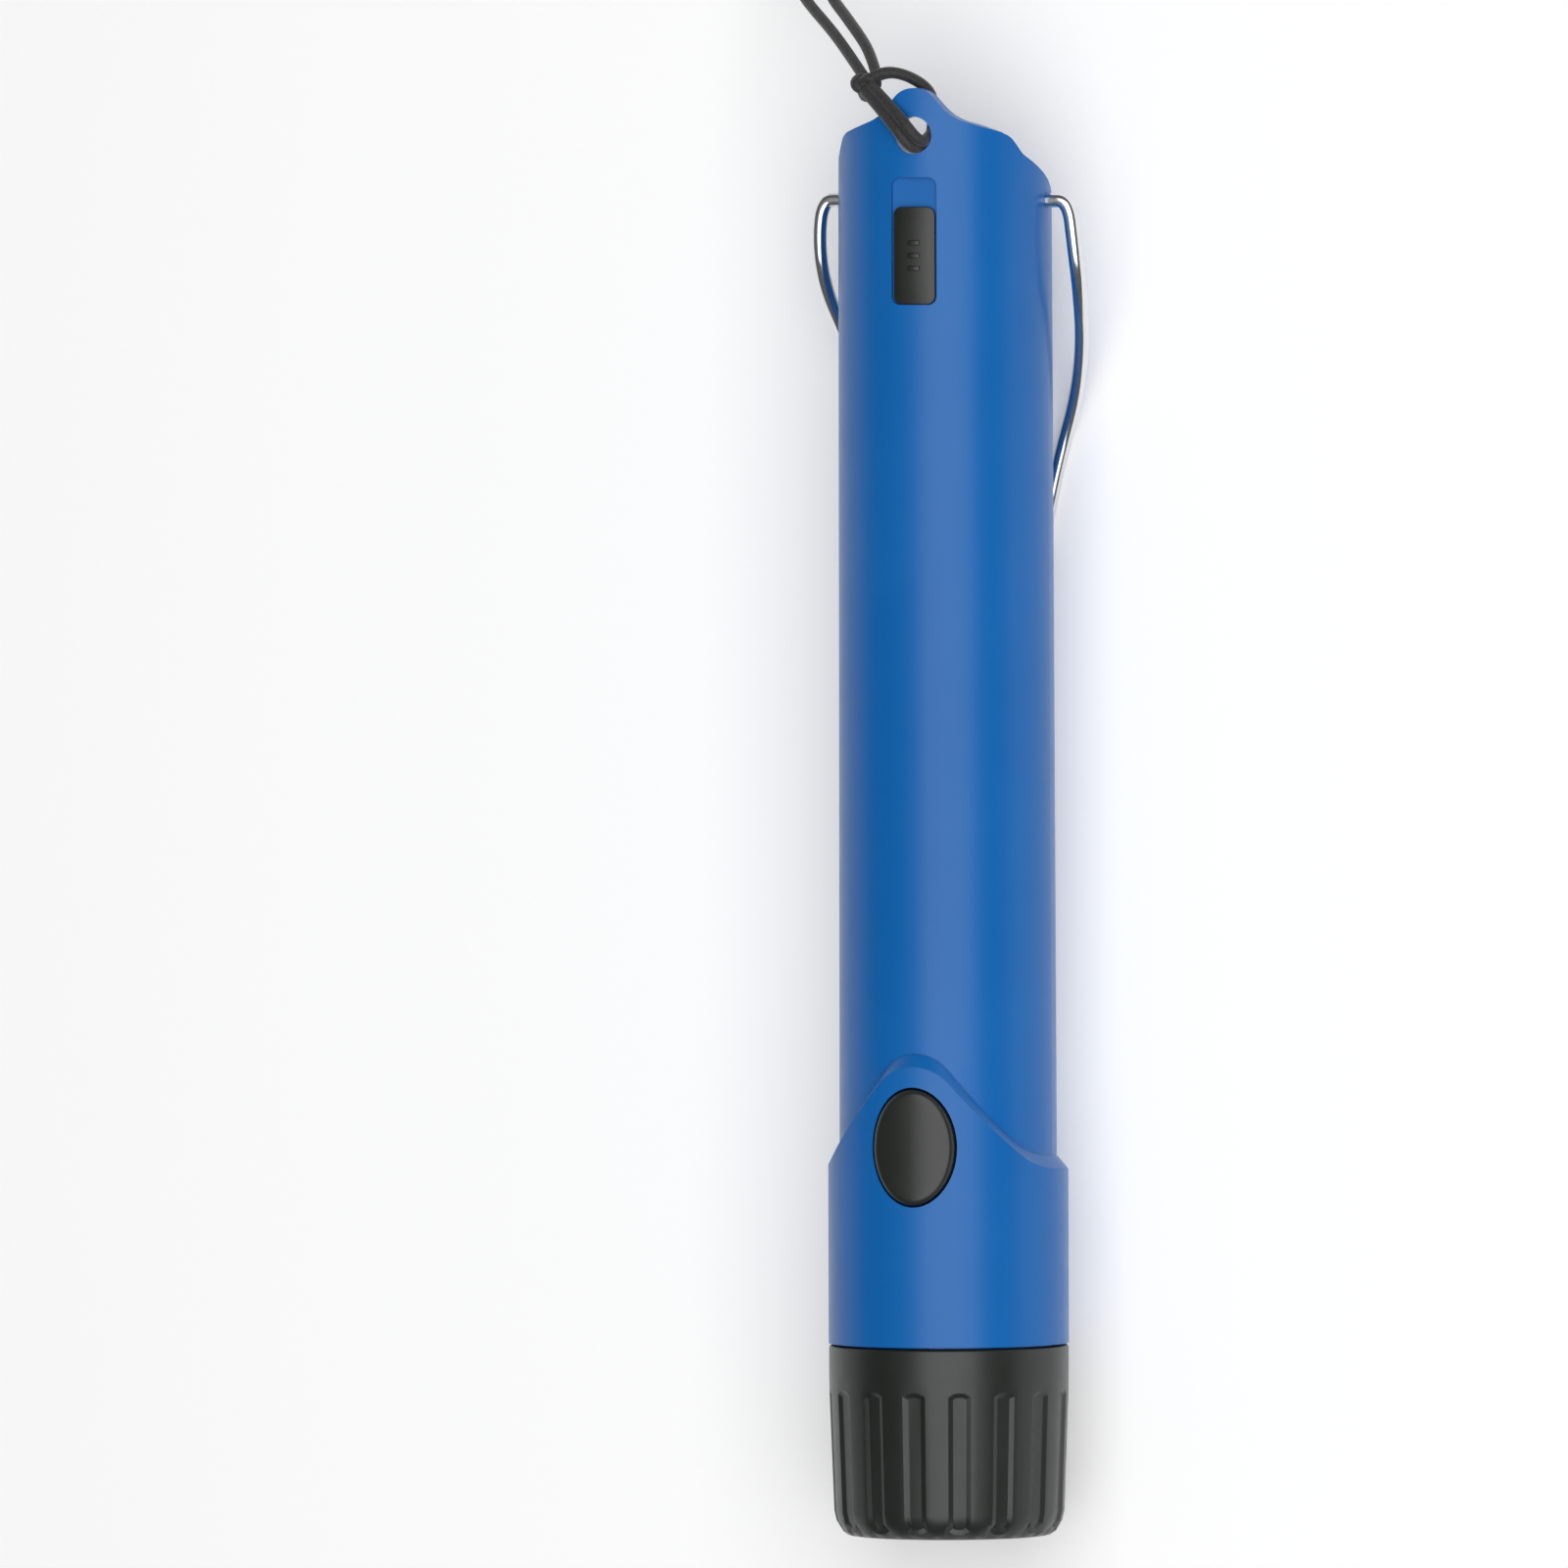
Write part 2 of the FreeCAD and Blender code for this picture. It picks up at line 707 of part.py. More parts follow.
def make_tactile_switch():
    wide = size("tactile_wide")
    deep = size("tactile_deep")
    high = size("button_high")
    body = block("tactile_body", wide, deep, wide, -1 * board_front - deep, high - wide / 2)
    reach = button_root - size("button_travel") - gap - board_front - deep
    plunger = rod("tactile_plunger", size("plunger_radius"), reach + deep / 2,
                  y=-1 * board_front - deep - reach, z=high, along="Y")
    return fuse("tactile_switch", [body, plunger])


board_front = size("board_level") + size("board_thick")


def make_slide_knob():
    """A long knob in the barrel's recess, with three grip marks and a stem to the switch."""
    floor = head_radius - size("slide_recess_depth") + fit
    wide = size("slide_recess_wide") - 2 * gap
    bar = rounded(
        "knob_bar",
        block("knob_bar_block", wide, head_radius - floor + 1, size("slide_knob_long"),
              -1 * head_radius - 1, size("slide_low") + fit),
        size("slide_corner") - fit,
    )
    face = common("knob_face", bar, rod("knob_crown", head_radius, length))
    marks = [
        block("knob_mark_%d" % step, 1.6, 0.8, 0.8, -1 * head_radius - 0.3,
              slide_middle + 1.8 * step - 0.4)
        for step in (-1, 0, 1)
    ]
    stem = block("knob_stem", size("slide_stem_wide"), floor - stem_tip,
                 size("slide_stem_long"), -1 * floor, slide_middle - size("slide_stem_long") / 2)
    return fuse("slide_knob", [face, stem] + marks)


switch_face = board_front + size("switch_body_deep")
stem_tip = switch_face - 1.2


def make_slide_switch():
    """The switch body on its small board, with the slot that the knob's stem runs in."""
    low = slide_middle - size("slide_stem_long") / 2 - 1.5
    body = block("switch_body", size("switch_body_wide"), size("switch_body_deep"),
                 size("slide_stem_long") + size("slide_travel") + 3, -1 * switch_face, low)
    way = block("switch_way", size("slide_stem_wide") + 2 * gap, 2,
                size("slide_stem_long") + size("slide_travel") + 2 * gap,
                -1 * switch_face - 0.5, slide_middle - size("slide_stem_long") / 2 - gap)
    return cut("slide_switch", body, [way])


# ---------------------------------------------------------------- wire clip
def tube_along(path, radius):
    """A round bar along a path, checked against its section times its length."""
    start = path.Edges[0].Vertexes[0].Point
    heading = path.Edges[0].Vertexes[1].Point - start
    rim = Part.Wire(Part.makeCircle(radius, start, heading))
    bar = path.makePipeShell([rim], True, False, 2)
    expected = math.pi * radius ** 2 * path.Length
    if abs(bar.Volume / expected - 1) > 0.01:
        raise RuntimeError("a tube's volume is off: %.2f for %.2f" % (bar.Volume, expected))
    return bar


def make_wire_clip():
    """One bent wire: both ends turn into the barrel's sockets, and its foot rests on the back."""
    wire = float(size("wire_radius"))
    out = float(head_radius + size("clip_reach"))
    end = float(head_radius - size("clip_socket_depth") + gap)
    pivot = float(size("clip_pivot_high"))
    depth = float(axis_height) - wire
    long = float(size("clip_long"))
    foot = float(size("clip_foot_half"))
    right = [
        Vector(end, 0, pivot),
        Vector(out, 0, pivot),
        Vector(out + 0.3, 0.8, pivot - 0.15 * long),
        Vector(out - 0.1, 0.39 * depth, pivot - 0.325 * long),
        Vector(out - 2.3, 0.78 * depth, pivot - 0.49 * long),
        Vector(foot + 3.7, depth, pivot - 0.68 * long),
        Vector(foot, depth, pivot - long),
    ]
    left = [Vector(-p.x, p.y, p.z) for p in reversed(right)]
    bends = [2.8, 20, 20, 24, 24, 4.5]
    return plain("wire_clip", tube_along(rounded_path(right + left, bends + bends[::-1]), wire))


# ---------------------------------------------------------------- chassis and electronics
chassis_radius = bore - gap
chassis_low = size("bulkhead_low") + size("bulkhead_thick")
post_places = (38.0, 110.0, 180.0)


def make_chassis():
    """A half tube that slides into the barrel, with posts for the screws."""
    inner = chassis_radius - size("chassis_wall")
    tall = size("chassis_high") - chassis_low
    shell = cut("chassis_shell", rod("chassis_outer", chassis_radius, tall, z=chassis_low), [
        rod("chassis_inner", inner, tall, z=chassis_low),
        block("chassis_open", 4 * bore, 4 * bore, tall, -1 * size("board_level") - 4 * bore,
              chassis_low),
    ])
    posts = [
        rod("chassis_post_%d" % index, size("post_radius"),
            size("board_level") + inner + 0.3, y=-1 * size("board_level"), z=place, along="Y")
        for index, place in enumerate(post_places)
    ]
    pilots = [
        rod("chassis_pilot_%d" % index, size("screw_radius") + size("pivot_gap"), 8,
            y=-1 * size("board_level") - 1, z=place, along="Y")
        for index, place in enumerate(post_places)
    ]
    return cut("chassis", fuse("chassis_body", [shell] + posts), pilots)


def make_board(name, low, high, places):
    """A circuit board on the chassis edges, with a clear hole for each screw."""
    plate = block(name + "_plate", 2 * size("board_half_wide"), size("board_thick"), high - low,
                  -1 * board_front, low)
    holes = [
        rod("%s_hole_%d" % (name, index), size("screw_radius") + fit, 6, y=-1 * board_front - 1,
            z=place, along="Y")
        for index, place in enumerate(places)
    ]
    return cut(name, plate, holes)


def make_screws():
    parts = []
    for index, place in enumerate(post_places):
        tall = size("screw_head_tall")
        head = rod("screw_head_%d" % index, size("screw_head_radius"), tall,
                   y=-1 * board_front - tall, z=place, along="Y")
        shank = rod("screw_shank_%d" % index, size("screw_radius"), size("screw_long"),
                    y=-1 * board_front - fit, z=place, along="Y")
        drive = rod("screw_drive_%d" % index, 0.7 * size("screw_radius"), tall / 2 + fit,
                    y=-1 * board_front - tall - fit, z=place, along="Y")
        parts.append(cut("screw_%d" % index, fuse("screw_blank_%d" % index, [head, shank]),
                         [drive]))
    return compound("chassis_screws", parts)


def compound(name, parts):
    group = doc.addObject("Part::Compound", name)
    group.Links = parts
    return group


def make_chip():
    wide = size("chip_wide")
    deep = size("chip_deep")
    return block("main_chip", wide, deep, wide, -1 * board_front - deep, size("chip_low"))


def make_capacitors():
    tall = size("capacitor_tall")
    cans = [
        rod("capacitor_%d" % index, size("capacitor_radius"), tall, x=x,
            y=-1 * board_front - tall, z=z, along="Y")
        for index, (x, z) in enumerate(((-5.5, 100.0), (5.5, 100.0), (-5.5, 48.0)))
    ]
    return compound("capacitors", cans)


def make_buzzer():
    tall = size("buzzer_tall")
    can = rod("buzzer_can", size("buzzer_radius"), tall, y=-1 * board_front - tall,
              z=size("buzzer_high"), along="Y")
    port = rod("buzzer_port", size("buzzer_radius") / 6, tall / 2,
               y=-1 * board_front - tall - 1, z=size("buzzer_high"), along="Y")
    return cut("buzzer", can, [port])


def make_motor():
    radius = size("motor_radius")
    long = size("motor_long")
    can = rod("motor_can", radius, long, x=-1 * long / 2, y=-1 * board_front - radius,
              z=size("motor_high"), along="X")
    foot = block("motor_foot", long - 2, radius, 4, -1 * board_front - radius,
                 size("motor_high") - 2)
    return fuse("vibration_motor", [can, foot])


# ---------------------------------------------------------------- search coil
def make_bulkhead():
    """The disc that closes the barrel's foot and carries the search coil."""
    plate = rod("bulkhead_plate", chassis_radius, size("bulkhead_thick"),
                z=size("bulkhead_low"))
    return cut("front_bulkhead", plate,
               [rod("bulkhead_wire_way", 1, 6, x=6, z=size("bulkhead_low") - 2)])


def make_former():
    tube = size("core_radius") + fit + size("former_wall")
    flange = size("former_flange_radius")
    low = size("former_low")
    wide = size("former_wall")
    high = low + wide + size("coil_tall") + 2 * fit + wide
    tall = size("bulkhead_low") - low
    blank = fuse("former_blank", [
        rod("former_tube", tube, tall, z=low),
        rod("former_low_flange", flange, wide, z=low),
        rod("former_high_flange", flange, wide, z=high - wide),
    ])
    return cut("coil_former", blank,
               [rod("former_bore", size("core_radius") + fit, tall - 1.5, z=low)])


def make_core():
    return rod("ferrite_core", size("core_radius"), size("bulkhead_low") - size("former_low") - 1.6,
               z=size("former_low"))


def make_coil():
    inner = size("core_radius") + 2 * fit + size("former_wall")
    low = size("former_low") + size("former_wall") + fit
    return cut("search_coil", rod("coil_outer", size("coil_radius"), size("coil_tall"), z=low),
               [rod("coil_inner", inner, size("coil_tall"), z=low)])


# ---------------------------------------------------------------- battery pack
cell_low = size("pack_low") + size("pack_plate") + size("contact_thick") + size("spring_tall")
pack_top = cell_low + size("cell_long") + size("contact_thick") + size("pack_plate")
cell_angles = (90.0, 210.0, 330.0)


def around(thing, angle):
    """Moves a piece that stands on the Z axis out to its place in the battery pack."""
    turn = math.radians(angle)
    bind(thing, "Placement.Base.x", size("cell_ring") * math.cos(turn))
    bind(thing, "Placement.Base.y", size("cell_ring") * math.sin(turn))
    return thing


def make_carrier():
    """Two end plates on a three-sided core, which hold the cells."""
    low = size("pack_low")
    plate = size("pack_plate")
    core = rod("carrier_core", size("cell_ring"), pack_top - low - 2 * plate, z=low + plate)
    hollows = [
        around(rod("carrier_hollow_%d" % index, size("cell_radius") + fit,
                   pack_top - low - 2 * plate, z=low + plate), angle)
        for index, angle in enumerate(cell_angles)
    ]
    ends = [
        rod("carrier_low_plate", size("pack_radius"), plate, z=low),
        rod("carrier_high_plate", size("pack_radius"), plate, z=pack_top - plate),
    ]
    core_piece = cut("carrier_spine", core, hollows)
    spine = rod("carrier_rod", 0.9, pack_top - low, z=low)
    return fuse("battery_carrier", ends + [common("carrier_middle", core_piece,
                rod("carrier_limit", 3.2, length)), spine])


def make_cells():
    cells = []
    for index, angle in enumerate(cell_angles):
        can = around(rod("cell_can_%d" % index, size("cell_radius"), size("cell_long") - 1,
                         z=cell_low), angle)
        tip = around(rod("cell_tip_%d" % index, 1.9, size("cell_long"), z=cell_low), angle)
        cells.append(fuse("cell_%d" % index, [can, tip]))
    return compound("battery_cells", cells)


def make_contacts():
    plates = [
        around(rod("contact_%d" % index, 3.2, size("contact_thick"),
                   z=pack_top - size("pack_plate") - size("contact_thick")), angle)
        for index, angle in enumerate(cell_angles)
    ]
    return compound("battery_contacts", plates)


def make_springs():
    springs = []
    for index, angle in enumerate(cell_angles):
        cone = doc.addObject("Part::Cone", "spring_%d_cone" % index)
        bind(cone, "Radius1", 3.4)
        bind(cone, "Radius2", 2.0)
        bind(cone, "Height", size("spring_tall"))
        around(put(cone, z=size("pack_low") + size("pack_plate") + size("contact_thick")), angle)
        base = around(rod("spring_base_%d" % index, 3.4, size("contact_thick"),
                          z=size("pack_low") + size("pack_plate")), angle)
        springs.append(fuse("spring_%d" % index, [cone, base]))
    return compound("battery_springs", springs)


# ---------------------------------------------------------------- wrist cord, where it lies
HALF = TOP / 2
CORD = float(size("cord_radius"))
KNOT = Vector(-7.7, HALF + 0.2, 31.5)
COIL = Vector(-36.0, HALF + 40.0, 2 * CORD)
HITCH = [
    (-7.0, HALF - 0.6, 32.6), (-3.6, HALF - 3.4, 35.9), (-0.9, HALF - 6.4, 35.9),
    (0.0, HALF - 7.2, 32.6), (0.6, HALF - 5.6, 29.0), (1.0, HALF - 0.6, 28.7),
    (-0.9, HALF + 2.4, 31.6), (-4.6, HALF + 1.7, 32.6), (-7.0, HALF + 0.4, 31.8),
]
OUT = [
    (-8.4, HALF + 1.2, 31.0), (-11.4, HALF + 4.4, 27.3), (-15.6, HALF + 8.2, 22.2),
    (-21.6, HALF + 12.6, 15.6), (-27.6, HALF + 17.6, 8.6), (-32.6, HALF + 23.4, 3.4),
    (-37.4, HALF + 30.3, 1.3),
]
BACK = [
    (-7.2, HALF + 1.6, 31.4), (-8.8, HALF + 5.0, 28.0), (-12.0, HALF + 9.2, 22.6),
    (-17.2, HALF + 14.2, 15.4), (-21.6, HALF + 20.0, 8.2), (-24.6, HALF + 26.4, 3.6),
    (-26.4, HALF + 33.6, 1.5),
]


def cord_tube(name, route, radius):
    """A tube of straight runs and arcs, each arc as large as its two runs allow."""
    points = [Vector(*spot) for spot in route]
    radii = []
    for before, corner, after in zip(points, points[1:], points[2:]):
        run = min((corner - before).Length, (after - corner).Length)
        bend = (corner - before).getAngle(after - corner)
        radii.append(0.45 * run / math.tan(bend / 2))
    print(name, "radii", [round(value, 1) for value in radii])
    return plain(name, tube_along(rounded_path(points, radii), radius))


def make_knot():
    ball = Part.makeSphere(float(size("knot_radius")), KNOT)
    return plain("cord_knot", ball)


def make_hank():
    ring = Part.makeTorus(float(size("hank_radius")), 2 * CORD, COIL)
    return plain("cord_coil", ring)


# ---------------------------------------------------------------- lay down, check, write
laid = Placement(Vector(0, -TOP / 2, float(axis_height)), Rotation(Vector(1, 0, 0), -90))
upright = {
    "barrel": make_barrel(),
    "front_sleeve": make_front_sleeve(),
    "nose_cap": make_nose_cap(),
    "cap_seal": make_cap_seal(),
    "push_button": make_push_button(),
    "tactile_switch": make_tactile_switch(),
    "slide_knob": make_slide_knob(),
    "slide_switch": make_slide_switch(),
    "switch_board": make_board("switch_board", size("switch_board_low"),
                               size("switch_board_high"), post_places[2:]),
    "wire_clip": make_wire_clip(),
    "chassis": make_chassis(),
    "main_board": make_board("main_board", size("main_board_low"),
                             size("main_board_high"), post_places[:2]),
    "chassis_screws": make_screws(),
    "main_chip": make_chip(),
    "capacitors": make_capacitors(),
    "buzzer": make_buzzer(),
    "vibration_motor": make_motor(),
    "front_bulkhead": make_bulkhead(),
    "coil_former": make_former(),
    "ferrite_core": make_core(),
    "search_coil": make_coil(),
    "battery_carrier": make_carrier(),
    "battery_cells": make_cells(),
    "battery_contacts": make_contacts(),
    "battery_springs": make_springs(),
}
lying = {
    "cord_hitch": cord_tube("cord_hitch", HITCH, CORD),
    "cord_knot": make_knot(),
    "wrist_cord_out": cord_tube("wrist_cord_out", OUT, CORD),
    "wrist_cord_back": cord_tube("wrist_cord_back", BACK, CORD),
    "cord_coil": make_hank(),
}
doc.recompute()

for thing in doc.Objects:
    if "Invalid" in thing.State or "Error" in thing.State:
        raise RuntimeError("%s failed: %s" % (thing.Name, thing.State))

os.makedirs("parts", exist_ok=True)
for node, thing in list(upright.items()) + list(lying.items()):
    # a placed copy is what is written, so the upright model stays as it is drawn
    thing.Label = node
    shape = thing.Shape.copy()
    if node in upright:
        shape.Placement = laid * shape.Placement
    if shape.isNull() or not shape.isValid() or not shape.Solids:
        raise RuntimeError("bad shape: " + node)
    shape.exportStep("parts/%s.step" % node)
    box = shape.BoundBox
    print("%-18s solids %d volume %9.2f  x %.1f..%.1f  y %.1f..%.1f  z %.1f..%.1f" % (
        node, len(shape.Solids), shape.Volume, box.XMin, box.XMax, box.YMin, box.YMax,
        box.ZMin, box.ZMax))
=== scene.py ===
# %% [markdown]
# # A hand pinpointer probe
# The probe lies on its back on its wire clip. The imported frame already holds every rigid
# piece at its real place and size. This file gives those pieces their finish, and models
# the parts whose look a machined shape can't give: the moulded cap, the button, the switch
# knob, the bright wire and the cord.

# %% Load the frame
import math

import bmesh
import bpy
from mathutils import Matrix, Vector


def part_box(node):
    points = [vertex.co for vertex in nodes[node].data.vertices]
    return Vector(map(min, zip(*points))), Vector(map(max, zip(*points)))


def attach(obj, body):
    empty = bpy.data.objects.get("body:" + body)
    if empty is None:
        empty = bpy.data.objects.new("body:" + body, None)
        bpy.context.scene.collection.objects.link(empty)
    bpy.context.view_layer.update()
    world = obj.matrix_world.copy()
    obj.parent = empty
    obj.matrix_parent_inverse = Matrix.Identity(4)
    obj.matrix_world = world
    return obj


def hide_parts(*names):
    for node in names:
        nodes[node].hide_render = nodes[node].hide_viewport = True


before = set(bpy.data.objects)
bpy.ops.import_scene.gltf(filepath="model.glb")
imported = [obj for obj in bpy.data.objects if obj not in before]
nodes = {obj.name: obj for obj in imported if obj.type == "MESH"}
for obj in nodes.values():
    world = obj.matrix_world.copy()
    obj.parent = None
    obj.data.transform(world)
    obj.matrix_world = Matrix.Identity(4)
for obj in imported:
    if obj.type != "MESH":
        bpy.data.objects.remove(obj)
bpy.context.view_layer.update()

# %% [markdown]
# ## Where things are
# Every place comes from the frame. The barrel's axis runs along Y at the height where the
# front bulkhead, a disc centred on that axis, has its middle.

# %% Places read from the frame
disc_low, disc_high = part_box("front_bulkhead")
AXIS_Z = (disc_low[2] + disc_high[2]) / 2
NOSE_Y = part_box("nose_cap")[0][1]
TAB_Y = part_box("barrel")[1][1]
MM = 0.001
print("axis height", round(AXIS_Z, 5), "from nose to tab", round(TAB_Y - NOSE_Y, 4))

# %% [markdown]
# ## The camera
# The probe is seen from above, as it lies on a table, and turned a little about its own
# length, so that the button sits left of the middle. A long lens keeps its sides parallel,
# and a fifth of a degree of roll leans it as a thing that was laid down by hand.

# %% Camera
TURN = math.radians(17.6)
NOD = math.radians(1.8)
ROLL = math.radians(-0.2)
DISTANCE = 5.0
FIELD = 0.2328
SIDEWAYS = -0.0242
ALONG = 0.0041

camera_data = bpy.data.cameras.new("camera")
camera = bpy.data.objects.new("camera", camera_data)
bpy.context.scene.collection.objects.link(camera)
back = Vector((math.sin(TURN) * math.cos(NOD), math.sin(NOD), math.cos(TURN) * math.cos(NOD)))
right = Vector((0, 1, 0)).cross(back).normalized()
right.rotate(Matrix.Rotation(ROLL, 3, back))
up = back.cross(right)
aim = Vector((0, ALONG, AXIS_Z)) + right * SIDEWAYS
turn_matrix = Matrix((right, up, back)).transposed()
camera.matrix_world = Matrix.Translation(aim + back * DISTANCE) @ turn_matrix.to_4x4()
camera_data.sensor_width = 36
camera_data.lens = camera_data.sensor_width * DISTANCE / FIELD
bpy.context.scene.camera = camera
print("lens", round(camera_data.lens, 1), "mm")

# %% [markdown]
# ## The wrist cord
# A thin round cord is tied to the tab. Its two strands leave the knot, sink to the table
# and end in a neat coil, where a short wrist loop is put away. The line is a NURBS curve,
# which stays smooth between a few given points. The coil's turns are worked out.

# %% The cord's route
CORD = 0.00085
HALF = (TAB_Y - NOSE_Y) / 2


def placed(points):
    """Points given in millimetres past the probe's tab end, as metres in the row frame."""
    return [Vector((x * MM, HALF + y * MM, z * MM)) for x, y, z in points]


STRAND_OUT = placed([
    (-8.4, 1.2, 31.0), (-11.8, 4.4, 27.3), (-16.4, 8.4, 22.2), (-22.6, 12.8, 15.6),
    (-27.6, 17.6, 8.6), (-32.6, 23.4, 3.4), (-37.4, 30.3, 1.3),
])
STRAND_BACK = placed([
    (-6.4, 1.4, 31.8), (-8.3, 5.0, 28.4), (-13.4, 9.6, 22.6), (-19.4, 14.2, 15.4),
    (-22.2, 20.0, 8.2), (-24.6, 26.4, 3.6), (-26.4, 33.6, 1.5),
])
COIL_MIDDLE = placed([(-36.0, 40.0, 0.0)])[0]
COIL_TURNS = 3.84
POINTS_A_TURN = 14


def coil_points():
    """Turns that lie beside and on each other, wound clockwise from the near side."""
    count = int(COIL_TURNS * POINTS_A_TURN)
    points = []
    for index in range(2, count - 1):
        share = index / count
        turn = share * COIL_TURNS
        angle = -math.pi / 2 - 2 * math.pi * turn
        layer = min(max((turn - 1.8) / 0.3, 0), 1)
        inner = min(max((turn - 0.9) / 0.3, 0), 1) - min(max((turn - 2.8) / 0.3, 0), 1)
        radius = (10.75 - 1.75 * inner) * MM
        height = (0.9 + 1.72 * layer) * MM
        points.append(COIL_MIDDLE + Vector((radius * math.cos(angle), radius * math.sin(angle), height)))
    return points


def nurbs(name, points):
    """A bare NURBS line of order three through the neighbourhood of its points."""
    data = bpy.data.curves.new(name, "CURVE")
    data.dimensions = "3D"
    data.resolution_u = 8
    line = data.splines.new("NURBS")
    line.points.add(len(points) - 1)
    for spot, point in zip(line.points, points):
        spot.co = (*point, 1)
    line.order_u = 3
    line.use_endpoint_u = True
    made = bpy.data.objects.new(name, data)
    bpy.context.scene.collection.objects.link(made)
    return made


def measured(curve):
    """The points and the length of a curve's line."""
    mesh = bpy.data.meshes.new_from_object(curve)
    spots = [vertex.co.copy() for vertex in mesh.vertices]
    bpy.data.meshes.remove(mesh)
    return spots, sum((b - a).length for a, b in zip(spots, spots[1:]))


route = STRAND_OUT + coil_points() + STRAND_BACK[::-1]
wrist_cord = nurbs("wrist_cord", route)
cord_line, cord_length = measured(wrist_cord)
wrist_cord.data.bevel_depth = CORD
wrist_cord.data.bevel_resolution = 4
wrist_cord.data.use_fill_caps = True
print("wrist cord", round(cord_length, 4), "m")

# %% [markdown]
# ## The hitch and its knot
# The loop's two strands run down over the tab's face, through its hole, up behind the tab
# and over its top to the knot. Each strand is a line of its own, because that is how a
# doubled cord lies: side by side on the face, one behind the other at the back.

# %% The hitch
HITCH = placed([
    (-8.2, -0.4, 32.4), (-3.4, -4.4, 36.2), (0.2, -9.1, 36.1), (0.8, -8.6, 32.6),
    (1.5, -7.1, 29.9), (1.6, -3.4, 29.8), (1.5, -0.1, 30.6), (-3.3, 2.5, 31.4),
    (-7.0, 2.0, 32.2), (-8.6, 0.4, 32.0),
])
SECOND_STRAND = [
    (1.0, 0.8, 0.1), (1.25, 1.0, 0.0), (1.3, 0.9, 0.0), (1.0, 1.3, -0.3), (-0.3, 1.0, -1.5),
    (-0.5, 0.0, -1.65), (-0.5, 0.0, -1.65), (-0.5, 0.0, -1.65), (-0.4, -0.3, -1.4),
    (0.3, -0.4, -0.9),
]


def strand(name, points):
    """A round strand with closed ends."""
    made = nurbs(name, points)
    made.data.bevel_depth = CORD
    made.data.bevel_resolution = 4
    made.data.use_fill_caps = True
    return made


hitch = strand("tab_hitch", HITCH)
hitch_pair = strand("tab_hitch_pair", [
    point + Vector(shift) * MM for point, shift in zip(HITCH, SECOND_STRAND)
])
print("hitch strands:", len(HITCH), "points each")

# %% [markdown]
# ## The overhand knot
# A closed trefoil, drawn tight, has an overhand knot's shape, so one short formula makes
# the whole knot and nothing has to be tied by hand.

# %% The knot
KNOT_MIDDLE = placed([(-8.2, 0.3, 31.6)])[0]
KNOT_STEPS = 30


def trefoil(middle, reach):
    points = []
    for step in range(KNOT_STEPS):
        t = 2 * math.pi * step / KNOT_STEPS
        points.append(middle + reach * Vector((
            math.sin(t) + 2 * math.sin(2 * t),
            math.cos(t) - 2 * math.cos(2 * t),
            -1.3 * math.sin(3 * t),
        )) / 3)
    return points


knot = nurbs("overhand_knot", trefoil(KNOT_MIDDLE, 1.6 * MM))
knot.data.splines[0].use_endpoint_u = False
knot.data.splines[0].use_cyclic_u = True
knot.data.bevel_depth = CORD
knot.data.bevel_resolution = 4

# %% [markdown]
# ## Modelling helpers
# The pieces below start as primitives at their real place. The helpers keep each one apart
# from the frame's own meshes, which are all selected when the frame has loaded.


# %% Helpers: start, choose faces, leave edit mode
def begin(name, add, **where):
    """Adds a primitive alone, with its place in its mesh, and opens it for editing."""
    bpy.ops.object.select_all(action="DESELECT")
    add(**where)
    made = bpy.context.object
    made.name = name
    bpy.ops.object.transform_apply(location=True, rotation=True, scale=True)
    bpy.ops.object.mode_set(mode="EDIT")
    return made


def choose_faces(piece, test):
    """Selects only the faces whose middle and normal pass the test."""
    bpy.ops.mesh.select_mode(type="FACE")
    bpy.ops.mesh.select_all(action="DESELECT")
    mesh = bmesh.from_edit_mesh(piece.data)
    chosen = [face for face in mesh.faces if test(face.calc_center_median(), face.normal)]
    for face in chosen:
        face.select_set(True)
    bmesh.update_edit_mesh(piece.data)
    return len(chosen)


def choose_edges(piece, test):
    """Selects only the edges whose two ends pass the test."""
    bpy.ops.mesh.select_mode(type="EDGE")
    bpy.ops.mesh.select_all(action="DESELECT")
    mesh = bmesh.from_edit_mesh(piece.data)
    chosen = [edge for edge in mesh.edges if test(edge.verts[0].co, edge.verts[1].co)]
    for edge in chosen:
        edge.select_set(True)
    bmesh.update_edit_mesh(piece.data)
    return len(chosen)


def close_edit(piece, edge_width, smooth_degrees=35):
    """Turns faces outwards, softens the sharp edges and shades the piece smooth."""
    bpy.ops.mesh.select_all(action="SELECT")
    bpy.ops.mesh.normals_make_consistent(inside=False)
    bpy.ops.object.mode_set(mode="OBJECT")
    if edge_width:
        soften = piece.modifiers.new("soften", "BEVEL")
        soften.width = edge_width
        soften.segments = 2
        soften.limit_method = "ANGLE"
        soften.angle_limit = math.radians(smooth_degrees)
        bpy.ops.object.modifier_apply(modifier=soften.name)
    bpy.ops.object.shade_smooth_by_angle(angle=math.radians(smooth_degrees))
    print(piece.name, len(piece.data.polygons), "faces")


# %% [markdown]
# ## The nose cap
# The real cap is one moulding: a cup with sixteen grip flutes, a rounded foot, and a groove
# inside that takes the barrel's lugs. It could be a cylinder with parts cut out, but rings
# extruded one from another keep even faces all round, and the flutes can then be inset.

